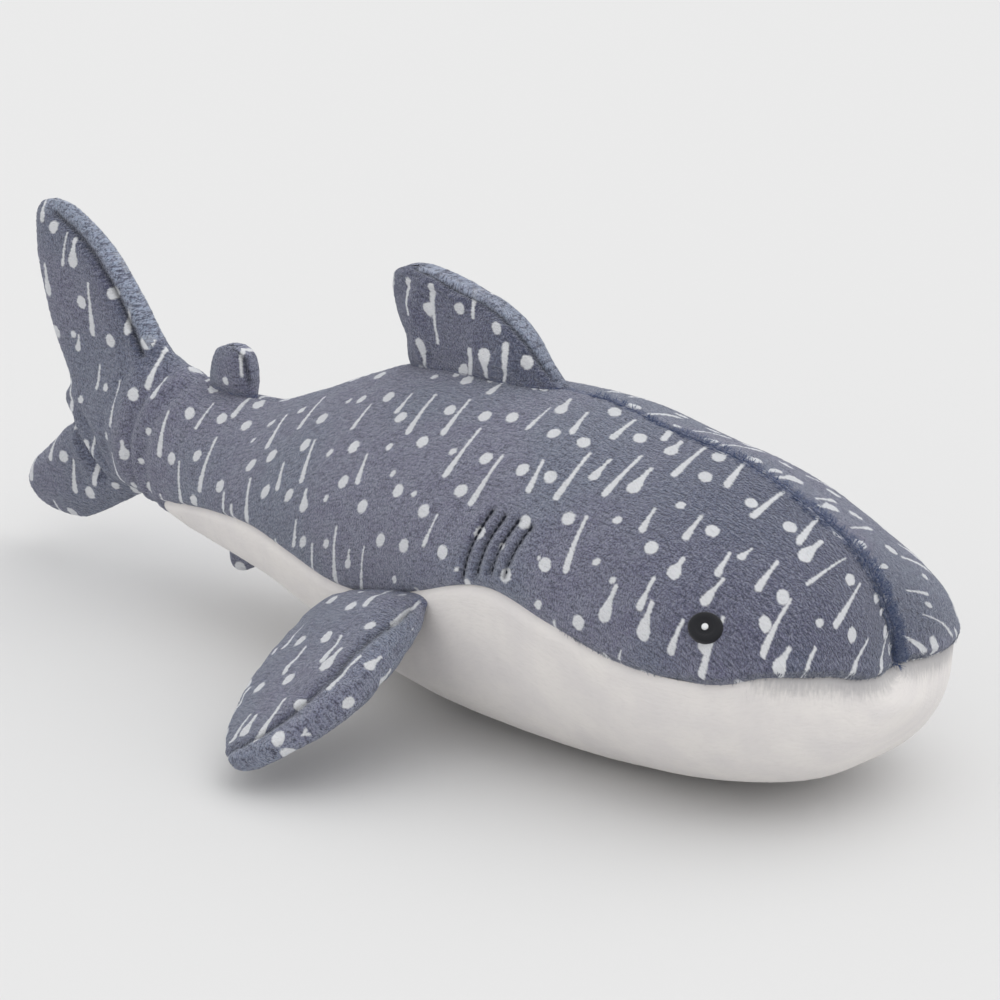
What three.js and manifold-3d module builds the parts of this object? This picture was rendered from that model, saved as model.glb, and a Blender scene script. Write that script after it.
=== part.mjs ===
// A plush whale shark, lying on its belly: printed short-pile panels sewn over a soft filling,
// with padded fins sewn into the seams. Millimetres. +X points to the nose, +Y to the shark's
// left and +Z up. The belly rests on z = 0, and x = 0 is half way between nose and tail tip.
import * as THREE from "three";
import { LoftGeometry } from "three/addons/geometries/LoftGeometry.js";
import { mergeVertices } from "three/addons/utils/BufferGeometryUtils.js";
import Module from "manifold-3d";

const wasm = await Module();
wasm.setup();

// ---- Driving dimensions -------------------------------------------------------------------

const CLOTH = 3; // short-pile fabric, backing and pile together
const FIN_CLOTH = 1.8; // the fins' fabric, drawn thinner by the stuffing
const FIN_ROOM = 0.7; // between the fins' fabric and their stuffing
const GAP = 0.35; // clearance between pieces that touch
const SEAM_GAP = 1.4; // left open between two panels, for the row of stitches
const THREAD = 0.7; // thickness of a row of stitches
const THREAD_DEPTH = [1.0, 2.2]; // the stitches lie this far under the fabric's outer face
const FAR = 400; // reaches past the whole shark

const RING = 22; // points round the body
const BODY_STEP = 20; // mm between the rings of the body
const SEAM_STEP = 10; // mm between the points of the side seam
const TOP_ROUND = [1.5, 2.0]; // superellipse powers across and up: a roof-like back
const BELLY_ROUND = [2.6, 2.4]; // and a fuller, flatter underside

// The body from nose to tail: x, half width, ridge, height of the widest line, belly.
const BODY = [
  [225, 15, 68, 57, 43],
  [218, 40, 80, 56, 28],
  [202, 58, 92, 56, 14],
  [175, 66, 106, 57, 3],
  [145, 70, 117, 59, -1],
  [115, 70, 121, 61, -2],
  [85, 69, 124, 62, -2],
  [47, 66, 124, 63, -1],
  [21, 60, 122, 63, 1],
  [-6, 54, 117, 61, 7],
  [-32, 48, 108, 59, 11],
  [-59, 41, 97, 57, 16],
  [-85, 34, 89, 55, 22],
  [-112, 27, 89, 56, 29],
  [-138, 21, 96, 61, 36],
  [-160, 16, 102, 65, 41],
];

// The side seam, where the printed back meets the white belly: x, height.
const SIDE_SEAM = [
  [240, 59],
  [175, 58],
  [145, 59],
  [115, 66],
  [85, 72],
  [47, 60],
  [21, 49],
  [-6, 42],
  [-32, 43],
  [-85, 49],
  [-112, 46],
  [-128, 41],
  [-140, 36],
  [-160, 20],
];

const UNDER_TAIL = 60; // the tail's underside lies below this height

const TAIL_HINGE_X = -50; // where the body bends sideways
const TAIL_SWAY = 20; // degrees each way
const CAUDAL_HINGE_X = -143; // where the tail fin folds sideways
const CAUDAL_SWAY = 30;
const FOLD_ROOM = 2; // degrees left over in a fold

const EYE = { x: 175, z: 76, half: [5.3, 4.7], proud: 1.2 };
const HIGHLIGHT = { radius: 1.3, proud: 0.6, up: 0.4, forward: 0.6 };
const GILL = { xs: [99, 92.5, 86, 79.5], low: 72, high: 96, lean: 4, width: 1.6, proud: 1 };

// Each fin is a row of sections from its root to its tip: span, rear edge, front edge and half
// thickness. The first section is a sharp edge on the root line, so that the fin can lean.
const DORSAL = {
  origin: [0, 0, 121.6],
  pitch: 3.8,
  rows: [
    [0, -8, 68, 0.6],
    [8, -9, 62, 8.5],
    [17, -12, 55, 9.5],
    [24, -14, 47, 9],
    [30, -15, 36, 8],
    [35, -14, 22, 6.5],
    [38.5, -8, 7, 4.5],
  ],
};
const SECOND_DORSAL = {
  origin: [-101, 0, 90.4],
  pitch: 0,
  rows: [
    [0, -13.5, 12, 0.6],
    [5, -13, 12, 6],
    [11, -11.5, 11.5, 6],
    [16, -9, 10, 5],
    [18.5, -4, 5, 3.5],
  ],
};
const ANAL = {
  origin: [-99, 0, 24.4],
  pitch: 165,
  rows: [
    [0, -10, 8, 0.6],
    [4, -9.5, 7.5, 4.5],
    [8, -7.5, 6, 4.5],
    [11.5, -4, 3, 3.5],
  ],
};
const PECTORAL = {
  origin: [24, 62.6, 49.5], // on the left; the right one mirrors it
  chord: [0.95, 0.175, 0.25],
  reach: [-0.073, 0.875, -0.479],
  rows: [
    [0, -21, 35, 0.6],
    [8, -24, 39, 9],
    [25, -26, 42, 11],
    [42, -24, 43, 11],
    [58, -19, 38, 10],
    [72, -12, 29, 8],
    [81, -4, 20, 6],
    [86, 2, 11, 3.5],
  ],
};
// The tail fin stands upright. Each section here is level: height, rear edge, front edge, half
// thickness. Those between the two heights of the stock start at the fold.
const FOLD_EDGE = CAUDAL_HINGE_X - GAP;
const STOCK_HEIGHTS = [38, 98];
const CAUDAL = [
  [14, -208, -192, 3.5],
  [17, -218, -184, 5],
  [25, -225.6, -170, 7],
  [34, -221, -155, 8],
  [39, -214, FOLD_EDGE, 9],
  [50, -202, FOLD_EDGE, 16],
  [62, -193, FOLD_EDGE, 18],
  [74, -195, FOLD_EDGE, 16],
  [88, -202, FOLD_EDGE, 10],
  [97, -206, FOLD_EDGE, 8],
  [112, -212, -155, 8],
  [130, -217, -170, 7],
  [144, -218, -187, 5.5],
  [150, -213, -199, 3.5],
];

// ---- Finishes -----------------------------------------------------------------------------

function finish(color, roughness) {
  return new THREE.MeshStandardMaterial({ color, roughness, metalness: 0 });
}

const printedPile = finish("#7d8198", 0.95);
const whitePile = finish("#dcd8d5", 0.95);
const fibre = finish("#f2f0ea", 1);
const blueThread = finish("#4e5266", 0.8);
const blackThread = finish("#1f1f22", 0.6);
const whiteThread = finish("#e6e6ec", 0.6);

// ---- Solids -------------------------------------------------------------------------------

// A closed geometry as a solid that can be cut and joined.
function solid(geometry) {
  const bare = new THREE.BufferGeometry();
  bare.setAttribute("position", geometry.getAttribute("position"));
  bare.setIndex(geometry.index);
  const merged = mergeVertices(bare, 1e-3);
  const corners = merged.index.array;
  const faces = [];
  for (let i = 0; i < corners.length; i += 3) {
    const [a, b, c] = [corners[i], corners[i + 1], corners[i + 2]];
    if (a !== b && b !== c && c !== a) faces.push(a, b, c);
  }
  const vertProperties = merged.attributes.position.array;
  return new wasm.Manifold(
    new wasm.Mesh({ numProp: 3, vertProperties, triVerts: new Uint32Array(faces) }),
  );
}

function geometryOf(shape) {
  const mesh = shape.getMesh();
  const geometry = new THREE.BufferGeometry();
  geometry.setAttribute("position", new THREE.BufferAttribute(mesh.vertProperties, 3));
  geometry.setIndex(new THREE.BufferAttribute(mesh.triVerts, 1));
  return geometry;
}

// A box between two corners.
function block(low, high) {
  const size = high.map((h, i) => h - low[i]);
  const geometry = new THREE.BoxGeometry(...size);
  return solid(geometry.translate(...low.map((l, i) => l + size[i] / 2)));
}

// A side view, [x, z] points, run right through the shark from side to side.
function sideCut(points) {
  const shape = new THREE.Shape(points.map(([x, z]) => new THREE.Vector2(x, z)));
  const geometry = new THREE.ExtrudeGeometry(shape, { depth: 2 * FAR, bevelEnabled: false });
  return solid(geometry.translate(0, 0, -FAR).rotateX(Math.PI / 2));
}

// A plan view, [x, y] points, run right through the shark from bottom to top.
function planCut(points) {
  const shape = new THREE.Shape(points.map(([x, y]) => new THREE.Vector2(x, y)));
  const geometry = new THREE.ExtrudeGeometry(shape, { depth: 2 * FAR, bevelEnabled: false });
  return solid(geometry.translate(0, 0, -FAR));
}

const radians = THREE.MathUtils.degToRad;

// ---- The body -----------------------------------------------------------------------------

// A smooth curve through a table's rows, read at x: column gives which value.
function along(table, column, x) {
  const rows = [...table].sort((a, b) => a[0] - b[0]);
  const last = rows.length - 1;
  const slope = (i) => (rows[i + 1][column] - rows[i][column]) / (rows[i + 1][0] - rows[i][0]);
  const tangent = (i) => {
    if (i === 0 || i === last) return slope(Math.min(i, last - 1));
    const [before, after] = [slope(i - 1), slope(i)];
    return before * after <= 0 ? 0 : (2 * before * after) / (before + after);
  };
  const next = rows.findIndex((row) => row[0] > x);
  const i = next < 0 ? last - 1 : Math.max(0, next - 1);
  const span = rows[i + 1][0] - rows[i][0];
  const t = (x - rows[i][0]) / span;
  return (
    (1 + 2 * t) * (1 - t) ** 2 * rows[i][column] +
    t * (1 - t) ** 2 * span * tangent(i) +
    t * t * (3 - 2 * t) * rows[i + 1][column] +
    t * t * (t - 1) * span * tangent(i + 1)
  );
}

const power = (value, exponent) => Math.sign(value) * Math.abs(value) ** exponent;

// One ring round the body, drawn in by inset.
function bodyRing(x, inset) {
  const [width, ridge, middle, belly] = [1, 2, 3, 4].map((column) => along(BODY, column, x));
  return Array.from({ length: RING }, (_, k) => {
    const turn = (2 * Math.PI * k) / RING;
    const [across, up] = Math.sin(turn) >= 0 ? TOP_ROUND : BELLY_ROUND;
    const height = Math.sin(turn) >= 0 ? ridge - middle : middle - belly;
    return new THREE.Vector3(
      x,
      (width - inset) * power(Math.cos(turn), 2 / across),
      middle + (height - inset) * power(Math.sin(turn), 2 / up),
    );
  });
}

// The stuffed body, drawn in by inset, and pressed flat where it rests.
function body(inset) {
  const tail = BODY.at(-1)[0];
  const nose = BODY[0][0] - inset;
  const blunt = [28, 18, 10, 5, 2]; // the rings stand closer together at the nose
  const xs = [];
  for (let x = tail; x < BODY[0][0] - blunt[0] - BODY_STEP / 2; x += BODY_STEP) xs.push(x);
  for (const back of blunt) xs.push(nose - back);
  xs.push(nose);
  const rings = xs.map((x) => bodyRing(x, inset));
  const stuffed = solid(new LoftGeometry(rings, { capStart: true, capEnd: true }));
  return stuffed.intersect(block([-FAR, -FAR, inset], [FAR, FAR, FAR]));
}

// What lies above the side seam, moved up by offset.
function aboveSeam(offset) {
  const seam = [];
  for (let x = SIDE_SEAM.at(-1)[0]; x <= SIDE_SEAM[0][0]; x += SEAM_STEP)
    seam.push([x, along(SIDE_SEAM, 1, x) + offset]);
  return sideCut([[-FAR, seam[0][1]], ...seam, [FAR, seam.at(-1)[1]], [FAR, FAR], [-FAR, FAR]]);
}

const outer = body(0);
const skin = outer.subtract(body(CLOTH));
const stitchLayer = body(THREAD_DEPTH[0]).subtract(body(THREAD_DEPTH[1]));
const filling = body(CLOTH + GAP);
const back = skin.intersect(aboveSeam(SEAM_GAP / 2));
const underside = skin.subtract(aboveSeam(-SEAM_GAP / 2));
const topStitches = stitchLayer
  .intersect(block([-FAR, -THREAD / 2, 0], [FAR, THREAD / 2, FAR]))
  .intersect(aboveSeam(2 * SEAM_GAP))
  .subtract(block([-FAR, -FAR, -FAR], [0, FAR, UNDER_TAIL]));
const sideStitches = stitchLayer
  .intersect(aboveSeam(-THREAD / 2))
  .subtract(aboveSeam(THREAD / 2))
  .subtract(block([-FAR, -SEAM_GAP, -FAR], [FAR, SEAM_GAP, FAR]));

// side is 1 on the shark's left and -1 on its right; edge is how far from the middle it starts.
function half(side, edge) {
  return side > 0
    ? block([-FAR, edge, -FAR], [FAR, FAR, FAR])
    : block([-FAR, -FAR, -FAR], [FAR, -edge, FAR]);
}

// The wedge behind a fold, which leaves room to turn by sway each way about a post at x.
function behindFold(x, sway) {
  const lean = FAR * Math.tan(radians(sway + FOLD_ROOM));
  const tip = x - GAP;
  return planCut([[tip, 0], [tip - lean, FAR], [-2 * FAR, FAR], [-2 * FAR, -FAR], [tip - lean, -FAR]]);
}

const trunkPart = block([TAIL_HINGE_X + GAP, -FAR, -FAR], [FAR, FAR, FAR]);
const tailPart = behindFold(TAIL_HINGE_X, TAIL_SWAY).intersect(
  block([CAUDAL_HINGE_X + GAP, -FAR, -FAR], [FAR, FAR, FAR]),
);

// ---- Eyes and gills -----------------------------------------------------------------------

// Embroidery that stands proud of the pile, where a stamp pushed in from one side meets it.
function embroidery(stamp, side, from, proud) {
  return body(-from - proud)
    .subtract(body(-from))
    .intersect(stamp)
    .intersect(half(side, 0));
}

// An upright oval stamp that points sideways.
function ovalStamp(x, z, halfWidth, halfHeight) {
  const geometry = new THREE.CylinderGeometry(1, 1, 2 * FAR, 20);
  return solid(geometry.scale(halfWidth, 1, halfHeight).translate(x, 0, z));
}

function eye(side) {
  return embroidery(ovalStamp(EYE.x, EYE.z, ...EYE.half), side, GAP, EYE.proud);
}

function highlight(side) {
  const { radius, proud, up, forward } = HIGHLIGHT;
  const stamp = ovalStamp(EYE.x + forward, EYE.z + up, radius, radius);
  return embroidery(stamp, side, 2 * GAP + EYE.proud, proud);
}

// A row of stitches drawn tight down the side, one of the gill slits.
function gillStitch(side, x) {
  const { low, high, lean, width, proud } = GILL;
  const stamp = sideCut([
    [x - lean / 2, low],
    [x - lean / 2 + width, low],
    [x + lean / 2 + width, high],
    [x + lean / 2, high],
  ]);
  return embroidery(stamp, side, GAP, proud);
}

// ---- Fins ---------------------------------------------------------------------------------

const CHORD_STOPS = [0.06, 0.22, 0.45, 0.72, 0.93]; // from the front edge to the rear edge

// One section of a fin at height span. A stock section rises straight from the fold.
function finRing([span, rear, front, thick], inset, isStock) {
  const chord = front - rear - 2 * inset;
  const peak = isStock ? thick * Math.tan(radians(CAUDAL_SWAY + FOLD_ROOM)) : 0.4 * chord;
  const half = Math.max(thick - inset, 0.3);
  const stops = isStock ? [peak / chord, ...CHORD_STOPS.slice(2)] : CHORD_STOPS;
  while (stops.length < CHORD_STOPS.length) stops.splice(1, 0, (stops[0] + stops[1]) / 2);
  const side = stops.map((stop) => {
    const distance = stop * chord;
    const fall = distance > peak ? (distance - peak) / (chord - peak) : 1 - distance / peak;
    const round = Math.sqrt(Math.max(0, 1 - fall * fall));
    const fat = distance < peak && isStock ? distance / peak : round;
    return [front - inset - distance, half * fat];
  });
  const point = (x, y) => new THREE.Vector3(x, y, span);
  return [
    point(front - inset, 0),
    ...side.map(([x, y]) => point(x, y)),
    point(rear + inset, 0),
    ...side.reverse().map(([x, y]) => point(x, -y)),
  ];
}

// The section at a span, between the two rows on either side of it.
function sectionAt(rows, span) {
  const next = Math.max(1, rows.findIndex((row) => row[0] >= span));
  const [below, above] = [rows[next - 1], rows[next]];
  const share = (span - below[0]) / (above[0] - below[0]);
  return below.map((value, i) => value + share * (above[i] - value));
}

// A whole fin, drawn in by inset, standing on its root with its front towards +X.
function fin(rows, inset, isStock = () => false) {
  const [first, last] = [rows[0], rows.at(-1)];
  const drawnIn = rows.map((row) =>
    sectionAt(rows, THREE.MathUtils.clamp(row[0], first[0] + 2.5 * inset, last[0] - inset)),
  );
  const rings = drawnIn
    .filter((row, i) => i === 0 || row[0] > drawnIn[i - 1][0])
    .map((row) => finRing(row, inset, isStock(row[0])));
  return solid(new LoftGeometry(rings, { capStart: true, capEnd: true }));
}

// Two panels sewn round their edge, the stitches between them, and the filling.
function finPieces(name, sides, rows, isStock) {
  const panels = fin(rows, 0, isStock).subtract(fin(rows, FIN_CLOTH, isStock));
  const stitches = fin(rows, FIN_CLOTH / 3, isStock).subtract(fin(rows, FIN_CLOTH * 0.9, isStock));
  const slab = block([-FAR, -THREAD / 2, -FAR], [FAR, THREAD / 2, FAR]);
  return [
    piece(`${name}_${sides[0]}_panel`, panels.intersect(half(1, SEAM_GAP / 2)), printedPile),
    piece(`${name}_${sides[1]}_panel`, panels.intersect(half(-1, SEAM_GAP / 2)), printedPile),
    piece(`${name}_seam_thread`, stitches.intersect(slab), blueThread),
    piece(`${name}_filling`, fin(rows, FIN_CLOTH + FIN_ROOM, isStock), fibre),
  ];
}

// ---- The assembly -------------------------------------------------------------------------

function piece(name, shape, material) {
  const mesh = new THREE.Mesh(geometryOf(shape), material);
  mesh.name = name;
  return mesh;
}

const SIDES = [
  ["right", -1],
  ["left", 1],
];

function bodyGroup() {
  const group = new THREE.Group();
  group.add(
    piece("belly_panel", underside.intersect(trunkPart), whitePile),
    piece("body_filling", filling.intersect(trunkPart), fibre),
    piece("back_seam_thread", topStitches.intersect(trunkPart), blueThread),
  );
  for (const [name, side] of SIDES) {
    const panel = back.intersect(half(side, SEAM_GAP / 2)).intersect(trunkPart);
    const stitches = sideStitches.intersect(half(side, 0)).intersect(trunkPart);
    group.add(
      piece(`back_panel_${name}`, panel, printedPile),
      piece(`side_seam_thread_${name}`, stitches, whiteThread),
      piece(`eye_${name}`, eye(side), blackThread),
      piece(`eye_highlight_${name}`, highlight(side), whiteThread),
    );
    GILL.xs.forEach((x, i) =>
      group.add(piece(`gill_stitch_${name}_${i + 1}`, gillStitch(side, x), blueThread)),
    );
  }
  return group;
}

function tailGroup() {
  const group = new THREE.Group();
  group.add(
    piece("tail_belly_panel", underside.intersect(tailPart), whitePile),
    piece("tail_filling", filling.intersect(tailPart), fibre),
    piece("tail_top_seam_thread", topStitches.intersect(tailPart), blueThread),
  );
  for (const [name, side] of SIDES) {
    const panel = back.intersect(half(side, SEAM_GAP / 2)).intersect(tailPart);
    const stitches = sideStitches.intersect(half(side, 0)).intersect(tailPart);
    group.add(
      piece(`tail_panel_${name}`, panel, printedPile),
      piece(`tail_seam_thread_${name}`, stitches, whiteThread),
    );
  }
  return group;
}

// A fin on the middle line, leaning by pitch in the side view.
function middleFin(name, { origin, pitch, rows }) {
  const group = new THREE.Group();
  group.add(...finPieces(name, ["left", "right"], rows));
  group.position.set(...origin);
  group.rotation.y = -radians(pitch);
  return group;
}

function pectoralFin(name, side) {
  const { origin, chord, reach, rows } = PECTORAL;
  const mirrored = ([x, y, z]) => new THREE.Vector3(x, side * y, z);
  const group = new THREE.Group();
  const faces = side > 0 ? ["lower", "upper"] : ["upper", "lower"];
  group.add(...finPieces(`pectoral_fin_${name}`, faces, rows));
  const forward = mirrored(chord).normalize();
  const outward = mirrored(reach).projectOnPlane(forward).normalize();
  const basis = new THREE.Matrix4().makeBasis(forward, outward.clone().cross(forward), outward);
  group.quaternion.setFromRotationMatrix(basis);
  group.position.copy(mirrored(origin));
  return group;
}

function caudalFin() {
  const group = new THREE.Group();
  const isStock = (height) => height > STOCK_HEIGHTS[0] && height < STOCK_HEIGHTS[1];
  group.add(...finPieces("tail_fin", ["left", "right"], CAUDAL, isStock));
  return group;
}

const shark = new THREE.Group();
shark.add(
  bodyGroup(),
  tailGroup(),
  middleFin("dorsal_fin", DORSAL),
  middleFin("second_dorsal_fin", SECOND_DORSAL),
  middleFin("anal_fin", ANAL),
  ...SIDES.map(([name, side]) => pectoralFin(name, side)),
  caudalFin(),
);

export default shark;
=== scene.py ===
# %% [markdown]
# # A plush whale shark, dressed in Blender
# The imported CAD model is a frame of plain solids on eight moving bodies. Here every plain solid is
# covered by the real toy's cloth: two printed back panels, a white belly panel and twelve fin panels,
# with their seams, stitches, eyes and brushed pile.

# %% The frame
import math

import bmesh
import bpy
import numpy as np
from mathutils import Matrix, Vector, noise


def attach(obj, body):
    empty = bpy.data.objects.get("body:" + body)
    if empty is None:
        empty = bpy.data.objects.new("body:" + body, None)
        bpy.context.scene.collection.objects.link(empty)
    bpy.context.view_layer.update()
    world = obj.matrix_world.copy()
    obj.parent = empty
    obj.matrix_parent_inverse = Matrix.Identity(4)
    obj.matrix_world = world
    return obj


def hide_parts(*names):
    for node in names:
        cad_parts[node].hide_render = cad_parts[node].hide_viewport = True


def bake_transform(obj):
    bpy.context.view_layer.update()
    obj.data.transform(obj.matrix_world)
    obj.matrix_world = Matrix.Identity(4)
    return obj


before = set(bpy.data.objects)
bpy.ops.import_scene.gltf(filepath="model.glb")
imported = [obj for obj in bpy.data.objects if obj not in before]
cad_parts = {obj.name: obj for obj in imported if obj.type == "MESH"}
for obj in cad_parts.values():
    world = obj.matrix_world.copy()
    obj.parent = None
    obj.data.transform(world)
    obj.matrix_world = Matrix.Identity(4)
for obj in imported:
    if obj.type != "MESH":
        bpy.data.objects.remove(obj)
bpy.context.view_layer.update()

# %% [markdown]
# ## Reading a table smoothly
# A soft shape has few driving sizes: a width here, a height there. We keep them as rows in
# millimetres, as the CAD source does, and read between the rows with a curve that never overshoots.
# A cubic spline would bulge between uneven rows, so each slope is the harmonic mean of its two sides.

# %% Smooth reading
MM = 0.001


def smooth_rows(keys, rows, at):
    """Every column of rows, read smoothly at each of the places in at."""
    keys, rows = np.asarray(keys, float), np.asarray(rows, float)
    rows = rows.reshape(len(keys), -1)
    slope = np.diff(rows, axis=0) / np.diff(keys)[:, None]
    product, total = slope[:-1] * slope[1:], slope[:-1] + slope[1:]
    mean = np.where(product > 0, 2 * product / np.where(product > 0, total, 1), 0)
    tangent = np.vstack([slope[:1], mean, slope[-1:]])
    at = np.clip(np.asarray(at, float).ravel(), keys[0], keys[-1])
    i = np.clip(np.searchsorted(keys, at, side="right") - 1, 0, len(keys) - 2)
    span = (keys[i + 1] - keys[i])[:, None]
    t = (at - keys[i])[:, None] / span
    before = (1 + 2 * t) * (1 - t) ** 2 * rows[i] + t * (1 - t) ** 2 * span * tangent[i]
    return before + t * t * (3 - 2 * t) * rows[i + 1] + t * t * (t - 1) * span * tangent[i + 1]


def run_length(points):
    """How far along its line each point lies."""
    steps = np.linalg.norm(np.diff(np.asarray(points, float), axis=0), axis=1)
    return np.concatenate([[0], np.cumsum(steps)])


def line_through(points, count):
    """A smooth line of evenly spaced points through a few given ones."""
    keys = run_length(points)
    return smooth_rows(keys, points, np.linspace(0, keys[-1], count))


def ease(value, start, end):
    """0 before start, 1 after end, smooth between."""
    t = np.clip((value - start) / (end - start), 0, 1)
    return t * t * (3 - 2 * t)


# %% [markdown]
# ## The body's shape
# The body is a stack of rings from the nose back. Each ring has a half width, a ridge height, the
# height where it is widest and a belly height. The rings are superellipses: pinched at the ridge,
# where the two back panels are sewn, and square below, where the belly lies flat.

# %% Driving sizes
BODY = np.array([  # x, half width, ridge, widest height, belly
    [226.5, 0, 56, 56, 56],
    [225, 15, 68, 57, 42], [218, 38, 80, 56, 26], [202, 56, 92, 56, 13], [175, 66, 106, 57, 5],
    [145, 70, 117, 59, 1], [115, 70, 122, 61, -1], [85, 69, 127, 62, -1], [47, 66, 126.5, 63, 0],
    [21, 60, 125, 63, 2], [-6, 54, 121, 61, 9], [-32, 48, 111, 59, 16], [-59, 41, 98.5, 57, 22],
    [-85, 34, 89.5, 55, 26], [-112, 27, 89, 56, 29],
], float)
CORE = np.array([  # the same, where the stuffing tapers out inside the tail fin
    [-112, 27, 89, 56, 29], [-126, 24, 92, 58, 32], [-138, 21, 96, 61, 35], [-160, 15, 99, 64, 39],
    [-178, 8, 92, 64, 46], [-190, 2, 80, 63, 54],
], float)
SIDE_SEAM = np.array([  # x, height of the seam between the back and the belly
    [240, 56], [202, 56], [188, 54], [172, 54], [145, 57], [115, 65.5], [85, 72], [47, 60], [21, 50],
    [-6, 47], [-32, 50.5], [-59, 53.5], [-85, 51], [-112, 45.5], [-128, 41], [-140, 33], [-160, 20],
], float)
TOP_ROUND, BELLY_ROUND = (1.5, 2.0), (2.6, 2.4)  # superellipse powers, across and up
JOIN_X = -112  # where the body's cloth meets the tail fin's
STEP = 1.35  # size of a cloth cell

BODY_KEYS = run_length(BODY[:, :2])
JOIN_KEY = BODY_KEYS[-1]


def seam_height(x):
    """How high the side seam runs at each length."""
    return smooth_rows(-SIDE_SEAM[:, 0], SIDE_SEAM[:, 1], -np.asarray(x))[:, 0]


SIDES = {"right": -1, "left": 1}
LIP_LIFT = {-1: 4.5, 1: 0}  # the right of the mouth is sewn a little higher than the left
LIP_START, LIP_END = (178, 208), (226, 216)  # it rises and falls again between these
HEAD_ROLL, HEAD_AXIS_Z = math.radians(4), 60


def head_turned(points):
    """The same points with the head rolled a little to its left: a soft toy never lies straight."""
    x, y, z = points[..., 0], points[..., 1], points[..., 2]
    turn = HEAD_ROLL * ease(x, 100, 190)
    up = z - HEAD_AXIS_Z
    return np.stack([x, y * np.cos(turn) + up * np.sin(turn),
                     HEAD_AXIS_Z + up * np.cos(turn) - y * np.sin(turn)], axis=-1)


def half_ring(width, ridge, widest, belly, count=241):
    """Right half of each ring from ridge to belly: distance from the middle, and height."""
    turn = np.linspace(math.pi / 2, -math.pi / 2, count)
    cos, sin = np.abs(np.cos(turn)), np.sin(turn)
    upper = sin >= 0
    across = np.where(upper, TOP_ROUND[0], BELLY_ROUND[0])
    up = np.where(upper, TOP_ROUND[1], BELLY_ROUND[1])
    tall = np.where(upper, (ridge - widest)[:, None], (widest - belly)[:, None])
    out = width[:, None] * cos ** (2 / across)
    height = widest[:, None] + tall * np.sign(sin) * np.abs(sin) ** (2 / up)
    return out, np.maximum(height, 0)


print("body runs", round(JOIN_KEY), "mm from the nose to the tail fin's cloth")

# %% [markdown]
# ## Cutting the cloth
# Each panel is a grid of points on the stuffed shape: one way along the shark, the other way round
# it. A grid bent onto the shape keeps even cells, and the distances along it become its UV map,
# so the print stays its true size, as it does on real printed cloth.

# %% Sheets of cloth
TINTS = ("brushed", "creased", "paled", "shaded")  # what the finish reads at each point, 0 to 1


class Sheet:
    """A grid of cloth points in millimetres with the facts that its finish needs."""

    def __init__(self, points, core):
        self.points, self.core = points, core
        for fact in ("along", "across", *TINTS):
            setattr(self, fact, np.zeros(points.shape[:2]))

    def normals(self):
        """The cloth's outward directions."""
        one, two = np.gradient(self.points, axis=0), np.gradient(self.points, axis=1)
        normal = np.cross(one, two)
        size = np.linalg.norm(normal, axis=2, keepdims=True)
        normal = np.where(size > 1e-9, normal / np.maximum(size, 1e-9), 0)
        inward = np.sum(normal * (self.points - self.core)) < 0
        return -normal if inward else normal

    def move_out(self, amount):
        """Moves every point out along the cloth's normal, or in where amount is negative."""
        self.points = self.points + self.normals() * amount[..., None]


BACK_CELLS, HALF_BELLY_CELLS = 71, 43  # points round a back panel, and round half the belly panel

keys = np.linspace(0, JOIN_KEY, int(JOIN_KEY / STEP) + 1)
sizes = smooth_rows(BODY_KEYS, BODY, keys)
ring_out, ring_height = half_ring(*sizes[:, 1:].T)
rings = np.stack([np.repeat(sizes[:, :1], ring_out.shape[1], axis=1), ring_out, ring_height], axis=-1)
rounds = np.stack([run_length(ring) for ring in rings])
seam_round = {}  # the length round each ring from the ridge to each side's seam
for side, lift in LIP_LIFT.items():
    lip = lift * ease(sizes[:, 0], *LIP_START) * ease(sizes[:, 0], *LIP_END)
    seam_round[side] = np.array([
        np.interp(-h, -ring[:, 2], length)
        for h, ring, length in zip(seam_height(sizes[:, 0]) + lip, rings, rounds)])
full_round = np.maximum(rounds[:, -1], 1e-6)


def on_rings(share):
    """The points that lie at these shares of the length round each ring."""
    return np.stack([
        np.stack([np.interp(s * length[-1], length, ring[:, k]) for k in range(3)], axis=-1)
        for length, ring, s in zip(rounds, rings, share)])


core_line = np.stack([sizes[:, 0] - 6, 0 * keys, sizes[:, 3]], axis=-1)[:, None, :]


def back_sheet(side):
    """The printed panel from the ridge down to the side seam. side is 1 on the shark's left."""
    share = np.linspace(0, 1, BACK_CELLS)[None, :] * (seam_round[side] / full_round)[:, None]
    sheet = Sheet(on_rings(share) * [1, side, 1], core_line)
    sheet.along = np.repeat(keys[:, None], BACK_CELLS, axis=1)
    sheet.across = share * full_round[:, None]
    return sheet


def belly_sheet():
    """The white panel from one side seam, under the belly, to the other."""
    half = np.linspace(0, 1, HALF_BELLY_CELLS)[None, :]
    share = {side: (found / full_round)[:, None] for side, found in seam_round.items()}
    right, left = (on_rings(share[side] + half * (1 - share[side])) * [1, side, 1] for side in (-1, 1))
    points = np.concatenate([right, left[:, -2::-1]], axis=1)
    sheet = Sheet(points, core_line)
    sheet.along = np.repeat(keys[:, None], points.shape[1], axis=1)
    right, left = (half * (full_round - seam_round[side])[:, None] for side in (-1, 1))
    sheet.across = np.concatenate([right, right[:, -1:] + left[:, -1:] - left[:, -2::-1]], axis=1)
    return sheet


backs = {name: back_sheet(side) for name, side in SIDES.items()}
belly = belly_sheet()
print("cells in a back panel:", backs["right"].points.shape, "belly:", belly.points.shape)

# %% [markdown]
# ## Softness
# Stuffed cloth is never a perfect curve. Low lumps of filling show through it, its edges roll inwards
# to a seam, and stitches pull narrow grooves into it. These are small moves along the cloth's own
# normals, so the fitted shape stays and only its surface becomes soft.

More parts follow.
